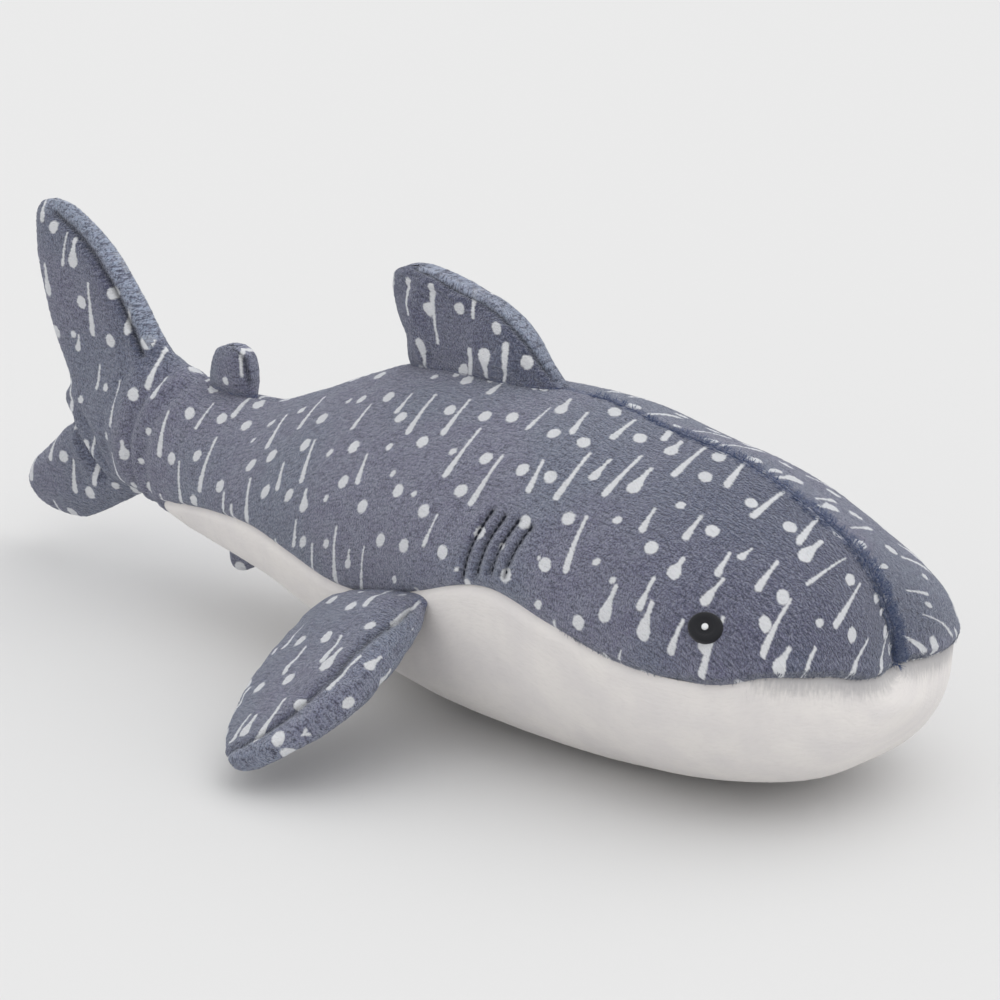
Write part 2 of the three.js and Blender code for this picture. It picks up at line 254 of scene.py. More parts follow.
# %% Lumps, rolled edges and grooves
def lumps(points, size, seed):
    """Smooth noise from -1 to 1 at each point, in lumps of the given size."""
    flat = (points.reshape(-1, 3) / size).tolist()
    shift = Vector((seed * 7.1, seed * 3.3, seed * 5.7))
    found = [noise.noise(Vector(p) + shift) for p in flat]
    return np.array(found).reshape(points.shape[:2])


def rolled(distance, depth, width):
    """How far in the cloth rolls at this distance from its seam."""
    return -depth * np.clip(1 - distance / width, 0, 1) ** 2


def distance_to(points, line):
    """The distance from each point to a line of closely spaced points."""
    flat, found = points.reshape(-1, 3), []
    for part in np.array_split(flat, max(1, len(flat) // 4000)):
        found.append(np.sqrt(((part[:, None, :] - line[None, :, :]) ** 2).sum(axis=2).min(axis=1)))
    return np.concatenate(found).reshape(points.shape[:2])


def pressed(points, line, depth, width):
    """A groove along a line, as a thread pulls it."""
    return -depth * np.exp(-((distance_to(points, line) / width) ** 2))


# %% Where the cloth is pulled in
SEAM_DEPTH, SEAM_ROLL = 1.9, 3.0
CREST_DEPTH, CREST_ROLL = 0.8, 3.2
SNOUT_DENT, SNOUT_WIDTH = 8.5, 15
FOLD_DEPTH, FOLD_STEP = 0.55, 13
GILLS = [[95, 78, 95], [88.5, 77.5, 96], [82, 75.5, 96], [75.5, 73, 96.5]]  # x, lowest and highest
GILL_LEAN, GILL_BOW = 4, 1
GILL_DEPTH, GILL_WIDTH = 2.3, 1.7
GILL_SWELL, GILL_SPREAD = 1.2, 5.5  # the cloth stands up a little round the four slits
EYE_X, EYE_Z = 177.2, 74
EYE_DENT = (EYE_X, EYE_Z, 1.3, 8.5)  # length, height, depth and width of the hollow round an eye
CHEEK_DENT = (EYE_X - 6, 59, 1.2, 7)


def body_surface(x, z, side):
    """The point of the body's skin at this length and height."""
    size = smooth_rows(-BODY[:, 0], BODY[:, 1:], [-x])
    out, height = half_ring(*size.T)
    return np.array([x, side * np.interp(-z, -height[0], out[0]), z])


def gill_line(side, number, count=24):
    """A gill slit's line of stitches, from low to high."""
    share = np.linspace(0, 1, count)
    x, low, high = GILLS[number]
    x = x + GILL_LEAN * (share - 0.5) - GILL_BOW * (1 - (2 * share - 1) ** 2)
    return np.array([body_surface(a, b, side) for a, b in zip(x, low + share * (high - low))])


gill_lines = {
    name: [gill_line(side, n) for n in range(len(GILLS))]
    for name, side in SIDES.items()
}


def snout_dent(points):
    """How far the seam down the snout pulls its front in."""
    x, y, z = points[..., 0], points[..., 1], points[..., 2]
    level = ease(z, 40, 60) * ease(z, 100, 74)
    return SNOUT_DENT * np.exp(-((y / SNOUT_WIDTH) ** 2)) * level * ease(x, 190, 214)


def wrinkles(points):
    """Upright folds where the tail narrows before its fin."""
    x, z = points[..., 0], points[..., 2]
    drift = 3.0 * np.sin(z / 17) + 2.0 * np.sin(z / 9 + 1)
    wave = np.sin((x + drift) * 2 * math.pi / FOLD_STEP) * (0.6 + 0.4 * np.sin(x / 11 + z / 23))
    return FOLD_DEPTH * wave * ease(x, -92, -122) * ease(x, -176, -150)


print("gill slits on each side:", len(GILLS))

# %% Shaping the back panels
PAINTED_HEAD_SHADE = {-1: 0.9, 1: 0.1}  # painted shade on the head, far more on the right panel, where the real pile lies the other way and looks darker
for name, side in SIDES.items():
    sheet = backs[name]
    to_seam = np.maximum(sheet.across[:, -1:] - sheet.across, 0)
    settled = 1 - np.exp(-((np.minimum(sheet.across, to_seam) / 7) ** 2))
    settled *= ease(sheet.points[..., 0], JOIN_X, JOIN_X + 10)
    front = ease(sheet.points[..., 0], 120, 185)
    lip = 1.1 * front * np.exp(-(((to_seam - 3.4) / 2.4) ** 2))
    move = rolled(sheet.across, CREST_DEPTH, CREST_ROLL) + rolled(to_seam, SEAM_DEPTH, SEAM_ROLL) + lip
    soft = 0.9 * lumps(sheet.points, 38, 1 + side) + 0.35 * lumps(sheet.points, 13, 4 + side)
    move += settled * (soft + wrinkles(sheet.points))
    for line in gill_lines[name]:
        groove = pressed(sheet.points, line, GILL_DEPTH, GILL_WIDTH)
        move += groove
        # painted shade in the gill groove, as dark as the gill thread
        sheet.creased = np.maximum(sheet.creased, (groove / -GILL_DEPTH) ** 3)
    move -= pressed(sheet.points, np.concatenate(gill_lines[name]), GILL_SWELL, GILL_SPREAD)
    for x, z, depth, width in (EYE_DENT, CHEEK_DENT):
        move += pressed(sheet.points, body_surface(x, z, side)[None, :], depth, width)
    dent = snout_dent(sheet.points)
    sheet.move_out(move)
    sheet.points[..., 0] -= dent
    sheet.points = head_turned(sheet.points)
    x = sheet.points[..., 0]
    crest_band = ease(x, -100, 60) * np.exp(-((sheet.across / (2.4 + 2.6 * ease(x, 60, 180))) ** 2))
    # painted shade: the head darkens towards the crest
    sheet.shaded = PAINTED_HEAD_SHADE[side] * ease(x, 80, 180) * np.exp(-((sheet.across / 78) ** 2))
    sheet.brushed = np.clip(0.95 * crest_band + 0.4 * np.exp(-((to_seam / 2.6) ** 2)), 0, 1)
print("softened the back panels")

# %% Shaping the belly panel
to_seam = np.minimum(belly.across, belly.across[:, -1:] - belly.across)
settled = (1 - np.exp(-((to_seam / 8) ** 2))) * ease(belly.points[..., 0], JOIN_X, JOIN_X + 10)
under = ease(belly.points[..., 0], 110, 190) * (to_seam / 4) * np.exp(1 - to_seam / 4)
folds = lumps(belly.points * [1, 1, 0.35], 22, 9)
dent = snout_dent(belly.points)
# grey fibres of the lip over the white, and painted shadow under the overhanging lip
lip_fibres_and_shadow = np.exp(-((to_seam / 7) ** 2)) * ease(belly.points[..., 0], 188, 208)
belly.move_out(
    rolled(to_seam, SEAM_DEPTH, SEAM_ROLL) - 0.9 * under
    + settled * (0.9 * lumps(belly.points, 42, 6) + 0.5 * folds) * ease(belly.points[..., 2], 0.5, 14)
)
belly.points[..., 0] -= dent
belly.points = head_turned(belly.points)
belly.points[..., 2] = np.maximum(belly.points[..., 2], 0)
# the belly's brushed fact holds the lip's grey fibres and its painted shadow
belly.brushed = lip_fibres_and_shadow
print("softened the belly panel")

# %% [markdown]
# ## The tail fin's cloth
# The back panels run on over the narrow stock and become the two sides of the tail fin. Seen from the
# side this is one patch with four edges: the ring where the body's cloth ends, the top edge up to the
# upper tip, the long rear edge, and the lower edge. A patch stretched between those four lines (a
# Coons patch) gives the grid, and a thickness at each point of the side view puffs it out.

# %% The tail fin's side view
TAIL_TOP = [
    [-112, 89], [-126, 92], [-137, 96.5], [-146, 104.5], [-153.5, 114.5], [-160, 123.5], [-167, 132],
    [-175, 139.5], [-184.5, 146], [-194, 150.5], [-202, 151.5]]
TAIL_REAR = [
    [-202, 151.5], [-209.5, 149.5], [-213, 143], [-212.5, 130], [-208.5, 112], [-203.5, 97],
    [-199, 87], [-195.5, 79], [-195, 74], [-197.5, 70.5], [-197.5, 66], [-193.5, 61.5], [-200, 53],
    [-212, 41.5], [-219.5, 34.5], [-223.5, 25], [-218.5, 17], [-209, 13.8], [-200, 13.4]]
TAIL_BELLY = [[-112, 29], [-126, 33], [-138, 36], [-147, 37], [-156, 33.5], [-170, 25.5], [-184, 17.5],
              [-192, 14.2], [-200, 13.4]]
LOBE = [  # height, half thickness
    [12, 3.5], [25, 7], [42, 9], [62, 9.5], [82, 9], [100, 8.5], [130, 7.2], [152, 4]]
EDGE_ROUND = 12  # how far in from its edge the fin reaches its full thickness
TAIL_CELLS = (96, 101)  # points back along the tail fin, and down it

top_line, belly_line = line_through(TAIL_TOP, 240), line_through(TAIL_BELLY, 240)
rear_line = line_through(TAIL_REAR, 400)
tail_outline = np.concatenate([top_line, rear_line, belly_line])
tail_outline = np.insert(tail_outline, 1, 0, axis=1)


def tail_half(x, z):
    """Half the tail's thickness at each point of its side view."""
    shape = np.shape(x)
    x, z = np.ravel(x), np.ravel(z)
    width, ridge, widest, low = smooth_rows(-CORE[:, 0], CORE[:, 1:], -x).T
    upper = z >= widest
    reach = np.clip(np.abs(z - widest) / np.where(upper, ridge - widest, widest - low), 0, 1)
    sin = reach ** (np.where(upper, TOP_ROUND[1], BELLY_ROUND[1]) / 2)
    across = np.where(upper, TOP_ROUND[0], BELLY_ROUND[0])
    core = width * np.sqrt(np.clip(1 - sin * sin, 0, 1)) ** (2 / across) * ease(x, -193, -172)
    flat = np.stack([x, 0 * x, z], axis=-1)[None]
    edge = np.clip(distance_to(flat, tail_outline)[0] / EDGE_ROUND, 0, 1)
    lobes = np.array(LOBE)
    puffed = smooth_rows(lobes[:, 0], lobes[:, 1], z)[:, 0] * np.sqrt(1 - (1 - edge) ** 2)
    puffed = puffed * ease(x, JOIN_X - 2, -152)
    return ((core ** 3 + puffed ** 3) ** (1 / 3)).reshape(shape)


def ends_close(count, amount=0.65):
    """Shares from 0 to 1 that stand closer together at both ends."""
    even = np.linspace(0, 1, count)
    return (1 - amount) * even + amount * (1 - np.cos(math.pi * even)) / 2


def at_shares(line, share):
    """The points at shares of a line's length."""
    keys = run_length(line)
    return np.stack([np.interp(share * keys[-1], keys, line[:, k]) for k in range(2)], axis=-1)


def tail_sheet(side):
    """One side of the tail fin and its stock, from the body's last ring to the rear edge."""
    out, height = half_ring(*CORE[:1, 1:].T)
    ring = np.stack([0 * height[0] + JOIN_X, height[0]], axis=-1)
    ring_round = run_length(np.stack([out[0], height[0]], axis=-1))
    back, down = ends_close(TAIL_CELLS[0], 0.5), ends_close(TAIL_CELLS[1], 0.3)
    front = np.stack([np.interp(down * ring_round[-1], ring_round, ring[:, k]) for k in (0, 1)], axis=-1)
    top, low = at_shares(top_line, back), at_shares(belly_line, back)
    rear = at_shares(rear_line, down)
    r, s = down[None, :, None], back[:, None, None]
    flat = (1 - r) * top[:, None] + r * low[:, None] + (1 - s) * front[None] + s * rear[None]
    flat -= (1 - s) * ((1 - r) * top[0] + r * low[0]) + s * ((1 - r) * top[-1] + r * low[-1])
    half = tail_half(flat[..., 0], flat[..., 1])
    half[:, [0, -1]] = 0
    half[-1] = 0
    points = np.stack([flat[..., 0], side * half, flat[..., 1]], axis=-1)
    sheet = Sheet(points, points * [1, 0, 1])
    sheet.along = JOIN_KEY + JOIN_X - points[..., 0]
    sheet.across = np.stack([run_length(row) for row in points])
    return sheet


def on_tail(line, side):
    """A line of the tail's side view, laid on its skin."""
    return np.stack([line[:, 0], side * tail_half(line[:, 0], line[:, 1]), line[:, 1]], axis=-1)


print("tail fin outline points:", len(tail_outline))

# %% The tail fin's seams and creases
UPPER_FRONT_SEAM = [
    [-148, 97], [-153, 105], [-160, 115.5], [-168, 125.5], [-178, 135], [-190, 142.5], [-200, 146.5]]
CREASES = [  # a line of the side view, its depth and its width
    ([[-196, 63], [-187, 55], [-178, 46], [-171, 39]], 3.4, 2.2),
    ([[-190, 68], [-180, 62], [-171, 53], [-166, 45]], 2.0, 2.4),
    ([[-196, 58], [-192, 49], [-188, 40], [-181, 32]], 1.2, 2.6),
    ([[-196, 76], [-184, 78], [-170, 82], [-160, 90]], 0.9, 3.2),
    ([[-152, 90], [-160, 78], [-165, 66], [-163, 52]], 1.3, 3.0),
    ([[-134, 92], [-141, 78], [-145, 62], [-144, 42]], 1.8, 2.6),
    ([[-124, 88], [-131, 74], [-134, 58], [-134, 46]], 1.0, 3.0),
]
CREASE_SHADE = 0.22  # painted shade in a crease, for each millimetre of its depth
FRONT_GROOVE = (2.2, 1.6)  # depth and width of the seam set in from the fin's front edge
WHITE_END_X = -127.5


def below_seam(x, z):
    """How far a point of the side view lies below the side seam, in millimetres."""
    return seam_height(np.ravel(x)).reshape(np.shape(x)) - z


tails = {name: tail_sheet(side) for name, side in SIDES.items()}
for name, side in SIDES.items():
    sheet = tails[name]
    x, z = sheet.points[..., 0], sheet.points[..., 2]
    to_edge = distance_to(sheet.points, tail_outline)
    settled = 1 - np.exp(-((to_edge / 6) ** 2))
    inner_front = on_tail(line_through(UPPER_FRONT_SEAM, 90), side)
    white = ease(x, WHITE_END_X - 1, WHITE_END_X + 1.5) * ease(below_seam(x, z), -0.8, 1.2)
    move = rolled(sheet.across, CREST_DEPTH, CREST_ROLL) * ease(x, -140, -122)
    move += settled * (0.5 * lumps(sheet.points, 26, 12 + side) + 0.3 * lumps(sheet.points, 10, 15 + side))
    move *= ease(x, JOIN_X, JOIN_X - 5)
    move += rolled(sheet.across, CREST_DEPTH, CREST_ROLL) * ease(x, JOIN_X - 5, JOIN_X)
    move += settled * wrinkles(sheet.points) * ease(x, -198, -170)
    move += rolled(to_edge, 0.7, 2.2) * ease(x, -140, -150)
    shade = 0 * x
    for crease, depth, width in CREASES:
        line = on_tail(line_through(crease, 60), side)
        groove = pressed(sheet.points, line, depth, width)
        shade = np.maximum(shade, CREASE_SHADE * -groove)
        beside = line + [width * 1.8, 0, 0]  # the cloth stands up beside a crease
        move += groove - pressed(sheet.points, beside, 0.35 * depth, 1.6 * width)
    move += pressed(sheet.points, inner_front, *FRONT_GROOVE)
    seam_xs = np.linspace(JOIN_X, WHITE_END_X, 60)
    white_seam = on_tail(np.stack([seam_xs, seam_height(seam_xs)], axis=-1), side)
    move += rolled(distance_to(sheet.points, white_seam), SEAM_DEPTH, SEAM_ROLL) - 1.0 * white
    to_front = distance_to(sheet.points, inner_front)
    sheet.move_out(move)
    # the tail fin's top rim: painted sheen there, and no painted shade
    outside = (to_edge < 7.5) & (z > 95) & (x < -145) & (x > -206) & (to_front > 0.8)
    # painted shade over the fin, darker near its front seam and in each crease, none on the rim
    shade = np.where(outside, 0, np.maximum(0.15 + 0.5 * np.exp(-((to_front / 9) ** 2)), shade))
    sheet.shaded = shade * ease(x, JOIN_X, JOIN_X - 30)
    # painted shade along the seam groove behind the front edge
    sheet.creased = 0.9 * np.exp(-((to_front / 1.1) ** 2))
    sheet.paled = outside * ease(to_edge, 8, 5)
    flat_share = ease(x, JOIN_X, JOIN_X - 45)
    sheet.across = (1 - flat_share) * sheet.across + flat_share * (100 - z)
print("tail sheets", tails["right"].points.shape)

# %% [markdown]
# The white belly panel runs on a little way under the stock and ends bluntly. It lies on the same
# skin as the tail fin's cloth, so its points come from the same thickness, and its edge rolls in to
# the seam.

# %% The end of the belly panel
def white_end_sheet():
    xs = np.linspace(JOIN_X, WHITE_END_X, 21)
    rows = []
    for x in xs:
        low = np.interp(-x, -belly_line[:, 0], belly_line[:, 1])
        z = low + (seam_height([x])[0] - low) * (1 - np.cos(np.linspace(0, math.pi / 2, 120)))
        z = z[::-1]
        arc = np.stack([0 * z + x, -tail_half(0 * z + x, z), z], axis=-1)
        arc[-1, 1] = 0
        keys_here = run_length(arc)
        share = np.linspace(0, 1, 25)
        right = np.stack(
            [np.interp(share * keys_here[-1], keys_here, arc[:, k]) for k in range(3)], axis=-1)
        rows.append(np.concatenate([right, right[-2::-1] * [1, -1, 1]]))
    points = np.array(rows)
    middle = points.mean(axis=1, keepdims=True) + [0, 0, 12]
    sheet = Sheet(points, middle)
    sheet.along = JOIN_KEY + np.repeat((JOIN_X - xs)[:, None], points.shape[1], axis=1)
    sheet.across = np.stack([run_length(row) for row in points])
    to_seam = np.minimum(sheet.across, sheet.across[:, -1:] - sheet.across)
    to_end = sheet.points[..., 0] - WHITE_END_X
    sheet.move_out(0.05 + rolled(to_seam, SEAM_DEPTH, SEAM_ROLL) + rolled(to_end, 1.3, 3))
    return sheet


white_end = white_end_sheet()

# %% [markdown]
# ## Fins
# Every fin is two panels sewn round their edge and stuffed: a flat bag, sharp at the seam and full in
# the middle. Its outline is rows of front and rear edge up the span, and each section is full near
# the front and thin at the rear. A seam set in from the front edge is pulled into a groove.

# %% Fin sheets
# rows: up the fin from its root, rear edge, front edge, half thickness
DORSAL_ROWS = [
    [-3.5, -6, 66, 3], [0, -9, 69, 7.4], [4, -9.5, 65.5, 9.2], [9, -9.5, 61, 9.8], [17, -12, 55, 9.8],
    [24, -14, 47, 9], [30, -15, 36, 8], [35, -14, 22, 6.5], [38.5, -8, 7, 4.5], [39.6, -1, 0, 0]]
SECOND_ROWS = [
    [-3, -13.5, 12, 2], [0, -13.5, 12, 4], [5, -13, 12, 6], [11, -11.5, 11.5, 6], [16, -9, 10, 5],
    [18.5, -4, 5, 3.5], [19.2, 0.5, 1, 0]]
ANAL_ROWS = [
    [-2.5, -10, 8, 2], [0, -10, 8, 3], [4, -9.5, 7.5, 4.5], [8, -7.5, 6, 4.5], [11.5, -4, 3, 3.5],
    [12.3, -0.8, -0.3, 0]]
PECTORAL_ROWS = [
    [-4, -19, 33, 3], [0, -21, 35, 5.5], [8, -24, 39, 9], [25, -26, 42, 11], [42, -24, 43, 11],
    [58, -19, 38, 10], [72, -12, 29, 8], [81, -4, 20, 6], [86, 2, 11, 3.5], [87.2, 6, 7, 0]]
FULLEST = 0.4  # a section is full this share of the way back from its front edge
PRINT_SHIFT = (31, 17)  # each fin is cut this much further along and across the print than the last


def middle_axes(pitch):
    """Forward, up the fin and sideways, for a fin on the middle line."""
    lean = math.radians(pitch)
    return np.array([[math.cos(lean), 0, math.sin(lean)], [-math.sin(lean), 0, math.cos(lean)], [0, 1, 0]])


def pectoral_axes(side):
    """The same for a pectoral fin, which reaches out, down and a little back from its root."""
    forward = np.array([0.95, side * 0.175, 0.25])
    forward /= np.linalg.norm(forward)
    reach = np.array([-0.073, side * 0.875, -0.479])
    reach -= forward * (reach @ forward)
    reach /= np.linalg.norm(reach)
    face = np.cross(forward, reach)
    return np.array([forward, reach, face * np.sign(face[2])])


def fullness(q):
    """A section's thickness, 0 to 1, at shares of its chord from the front edge back."""
    falling = (q - FULLEST) / (1 - FULLEST)
    return np.where(q < FULLEST, 1 - (1 - q / FULLEST) ** 2, 1 - falling ** 2) ** 0.5


def fin_sheets(origin, axes, rows, inset, seed, across_count=44, groove=1.8, shade=0.12, pale=0.3):
    """The two sides of a fin: the first faces along the third axis. inset is the groove's place; shade and
    pale are how much painted shade and painted sheen it gets.
    """
    rows = np.array(rows, float)
    keys_up = run_length(rows[:, :3] * [1, 0.5, 0.5])
    sizes_up = smooth_rows(keys_up, rows, np.linspace(0, keys_up[-1], int(keys_up[-1] / STEP) + 1))
    q = ends_close(across_count, 0.8)
    span, rear, front, half = sizes_up.T
    chord = (front - rear)[:, None] * q[None, :]
    forward = front[:, None] - chord
    up = np.repeat(span[:, None], across_count, axis=1)
    flat = np.asarray(origin) + forward[..., None] * axes[0] + up[..., None] * axes[1]
    inset = inset * (0.25 + 0.75 * ease(span, 0, 40))
    groove_line = np.asarray(origin) + (front - inset)[:, None] * axes[0] + span[:, None] * axes[1]
    groove_full = fullness(np.clip(inset / np.maximum(front - rear, 1), 0, 1))
    found = []
    for face in (1, -1):
        points = flat + (face * half[:, None] * fullness(q)[None, :])[..., None] * axes[2]
        sheet = Sheet(points, flat)
        sheet.along = PRINT_SHIFT[0] * seed - np.repeat(front[:, None], across_count, axis=1)
        sheet.across = up + PRINT_SHIFT[1] * seed
        to_edge = np.minimum(chord, chord[:, -1:] - chord)
        settled = 1 - np.exp(-((to_edge / 6) ** 2))
        move = settled * (0.55 * lumps(points, 24, seed + face) + 0.3 * lumps(points, 9, seed + 3 * face))
        rim = chord < inset[:, None]
        if groove and face > 0:
            line = (groove_line + (half * groove_full)[:, None] * axes[2])[span > 2]
            to_line = distance_to(points, line)
            move += pressed(points, line, groove, 1.5)
            # painted shade along the groove
            sheet.creased = 0.85 * np.exp(-((to_line / 1.1) ** 2)) * ease(up, 2, 8)
            # painted shade over the face, darker near the groove, none on the rim
            sheet.shaded = np.where(rim, 0, shade + 0.3 * np.exp(-((to_line / 6) ** 2)))
        move += rolled(to_edge, 0.7, 2.2)
        sheet.move_out(move * ease(up, -2, 4))
        # painted sheen on the rim ahead of the groove
        sheet.paled = rim * pale * ease(up, 2, 10)
        sheet.brushed = np.maximum(sheet.brushed, 0.7 * np.exp(-((np.maximum(up, 0) / 3) ** 2)))
        found.append(sheet)
    return found


# %% Cutting the fins
RIGHTWARDS = np.array([1, 1, -1])[:, None]  # turns the first face to the shark's right
# the dorsal fin gets heavy painted shade and strong painted sheen
dorsal = fin_sheets(
    [-0.8, 0, 121.6], middle_axes(3.8) * RIGHTWARDS, DORSAL_ROWS, 5, 3, shade=0.6, pale=0.8)
second = fin_sheets([-103, 0, 89.8], middle_axes(0) * RIGHTWARDS, SECOND_ROWS, 4, 5, 26, 0.6)
anal = fin_sheets([-99, 0, 25.5], middle_axes(165) * RIGHTWARDS, ANAL_ROWS, 3, 7, 22, 0)
pectorals = {
    name: fin_sheets([24, side * 62.6, 49.5], pectoral_axes(side), PECTORAL_ROWS, 10, seed)
    for (name, side), seed in zip(SIDES.items(), (9, 12))
}
print("dorsal panel cells", dorsal[0].points.shape)

# %% [markdown]
# ## Stuffing the fins
# Two flat panels sewn round their edge only look stuffed when air or filling has pushed them out and
# the seam has held them in. Blender's cloth does just that: every seam point is pinned, the cloth is
# cut a little too large, and pressure swells it. The simulation runs on a coarse copy of the sheets.
# Its movement is capped, fades out at the seam so that the outline stays as it was cut, and is then
# spread over the fine sheets.

# %% Cloth pressure
SLACK = -0.03  # a negative shrink: the cloth is cut this much too large
PRESSURE, LAST_FRAME = 4.0, 20
WELD = 0.4  # coarse points closer than this are one point
SEAM_FADE = 9  # the swelling grows from nothing over this distance from a seam


def piece_from(name, bm):
    """A new object in the scene with the mesh that bm holds."""
    mesh = bpy.data.meshes.new(name)
    bm.to_mesh(mesh)
    bm.free()
    piece = bpy.data.objects.new(name, mesh)
    bpy.context.scene.collection.objects.link(piece)
    return piece


def grid_object(name, sheets, every):
    """A welded coarse mesh of the sheets, and for each sheet the coarse places it has."""
    bm = bmesh.new()
    picks = []
    for sheet in sheets:
        rows, columns = (sorted({*range(0, n, every), n - 1}) for n in sheet.points.shape[:2])
        picks.append((rows, columns))
        made_now = bmesh.ops.create_grid(bm, x_segments=len(rows) - 1, y_segments=len(columns) - 1, size=1)
        for vert in made_now["verts"]:
            i = rows[round((vert.co.x + 1) / 2 * (len(rows) - 1))]
            j = columns[round((vert.co.y + 1) / 2 * (len(columns) - 1))]
            vert.co = Vector(sheet.points[i, j] * MM)
    bmesh.ops.remove_doubles(bm, verts=bm.verts, dist=WELD * MM)
    bmesh.ops.recalc_face_normals(bm, faces=bm.faces)
    return piece_from(name, bm), picks


def spread_out(coarse, rows, columns, shape):
    """Coarse moves, read between their rows and then between their columns."""
    fine_rows = np.stack([[np.interp(range(shape[0]), rows, coarse[:, j, k]) for k in range(3)]
                          for j in range(len(columns))])  # column, axis, row
    fine = np.stack([[np.interp(range(shape[1]), columns, fine_rows[:, k, i]) for k in range(3)]
                     for i in range(shape[0])])  # row, axis, column
    return fine.transpose(0, 2, 1)


def stuffed(name, sheets, every=3, cap=1.8, held=1.5):
    """Swells the sheets between their pinned seams; no point moves further than cap millimetres."""
    cloth, picks = grid_object(name, sheets, every)
    start = np.array([v.co for v in cloth.data.vertices])
    borders = np.concatenate([np.concatenate([
        s.points[0], s.points[-1], s.points[:, 0], s.points[:, -1]]) for s in sheets])
    near = distance_to(start[None] / MM, borders)[0]
    pins = cloth.vertex_groups.new(name="pins")
    for index in np.flatnonzero(near < held).tolist():
        pins.add([index], 1.0, "REPLACE")
    sim = cloth.modifiers.new("stuffing", "CLOTH")
    sim.settings.quality = 6
    sim.settings.mass = 0.15
    sim.settings.tension_stiffness = sim.settings.compression_stiffness = 12
    sim.settings.bending_stiffness = 0.3
    sim.settings.shrink_min = SLACK
    sim.settings.use_pressure, sim.settings.uniform_pressure_force = True, PRESSURE
    sim.settings.vertex_group_mass = "pins"
    sim.settings.effector_weights.gravity = 0
    sim.point_cache.frame_start, sim.point_cache.frame_end = 1, LAST_FRAME
    for step in range(1, LAST_FRAME + 1):
        bpy.context.scene.frame_set(step)
    shown = cloth.evaluated_get(bpy.context.evaluated_depsgraph_get())
    moved = np.array([v.co for v in shown.data.vertices]) - start
    size = np.linalg.norm(moved, axis=1, keepdims=True) / MM
    moved = moved * np.minimum(1, cap / np.maximum(size, 1e-6)) * ease(near, 0, SEAM_FADE)[:, None]
    for sheet, (rows, columns) in zip(sheets, picks):
        wanted = sheet.points[np.ix_(rows, columns)].reshape(-1, 3) * MM
        nearest = [int(np.argmin(((start - p) ** 2).sum(axis=1))) for p in wanted]
        coarse = moved[nearest].reshape(len(rows), len(columns), 3) / MM
        sheet.points = sheet.points + spread_out(coarse, rows, columns, sheet.points.shape)
    bpy.data.objects.remove(cloth)
    bpy.context.scene.frame_set(1)
    print(name, "swelled by up to", round(float(size.max()), 1), "mm, capped at", cap)


# %% Swelling each fin
stuffed("dorsal fin", dorsal)
for name in pectorals:
    stuffed(f"pectoral fin {name}", pectorals[name])
stuffed("second dorsal fin", second, every=2, cap=1.5)
stuffed("anal fin", anal, every=2, cap=1.0)
for sheets in (dorsal, second, anal, *pectorals.values()):
    for sheet in sheets:
        sheet.along = sheet.along + np.stack([run_length(row) for row in sheet.points])

# %% [markdown]
# ## From sheet to mesh
# Blender's grid operator makes each panel's faces, and the sheet says where its points go. The nose
# and the fin tips end in one point, so doubles are merged there. One level of subdivision rounds the
# cells, and a stretched noise on the cloth's own UV map raises the short brushed pile.

# %% Making a panel
pile_noise = bpy.data.textures.new("brushed_pile", "CLOUDS")
pile_noise.noise_scale = 0.5
pile_noise.noise_depth = 3
TIP_WELD = 0.02  # merges the points that meet at a tip, and no others


def made(name, bm, material):
    """A finished piece from its bmesh."""
    piece = piece_from(name, bm)
    piece.data.materials.append(material)
    piece.data.shade_smooth()
    return piece


def rounded(piece):
    """One level of subdivision, the same in the view and the render."""
    rounder = piece.modifiers.new("rounder", "SUBSURF")
    rounder.levels = rounder.render_levels = 1


def panel(name, sheet, material, pile=0.75, streak=(2.6, 2.0)):
    """A cloth panel from its sheet, with the print's UV map, the pile's UV map and the brushed edge."""
    rows, columns = sheet.points.shape[:2]
    bm = bmesh.new()
    bmesh.ops.create_grid(bm, x_segments=rows - 1, y_segments=columns - 1, size=1)
    maps = [bm.loops.layers.uv.new("print"), bm.loops.layers.uv.new("pile")]
    tints = {key: bm.verts.layers.float.new(key) for key in TINTS}
    nap_share = bm.verts.layers.deform.verify()
    place = {}
    for vert in bm.verts:
        i = round((vert.co.x + 1) / 2 * (rows - 1))
        j = round((vert.co.y + 1) / 2 * (columns - 1))
        place[vert] = (i, j)
        for key, layer in tints.items():
            vert[layer] = float(min(1, getattr(sheet, key)[i, j]))
        vert[nap_share][0] = 1.0 if 0 < i < rows - 1 and 0 < j < columns - 1 else 0.0
        vert.co = Vector(sheet.points[i, j] * MM)
    for face in bm.faces:
        for loop in face.loops:
            u, v = sheet.along[place[loop.vert]], sheet.across[place[loop.vert]]
            loop[maps[0]].uv = (u * MM, v * MM)
            loop[maps[1]].uv = (u / streak[0] / 2, v / streak[1] / 2)
    bmesh.ops.remove_doubles(bm, verts=bm.verts, dist=TIP_WELD * MM)
    bm.normal_update()
    core = np.broadcast_to(sheet.core, sheet.points.shape)
    outward = sum(
        f.normal.dot(f.calc_center_median() - Vector(core[place_of(f, place)] * MM)) for f in bm.faces)
    if outward < 0:
        bmesh.ops.reverse_faces(bm, faces=bm.faces)
    piece = made(name, bm, material)
    rounded(piece)
    piece.vertex_groups.new(name="nap")
    nap = piece.modifiers.new("nap", "DISPLACE")
    nap.texture, nap.texture_coords, nap.uv_layer = pile_noise, "UV", "pile"
    nap.strength, nap.mid_level, nap.vertex_group = pile * MM, 0.5, "nap"
    return piece


def place_of(face, place):
    """The grid place of a face's first corner that is still known."""
    return next(place[v] for v in face.verts if v in place)


# %% [markdown]
# ## Finishes
# The printed cloth is a short blue-grey pile with white dots and dashes. Each mark is drawn in its own
# cell of the UV map as a line with a radius that tapers along it: length zero gives a dot, a fat head
# gives a dot with a tail. Two layers of cells, half a column apart, give dots and long dashes. White
# noise per cell makes every mark differ, and fine noise frays its edge as the pile does.

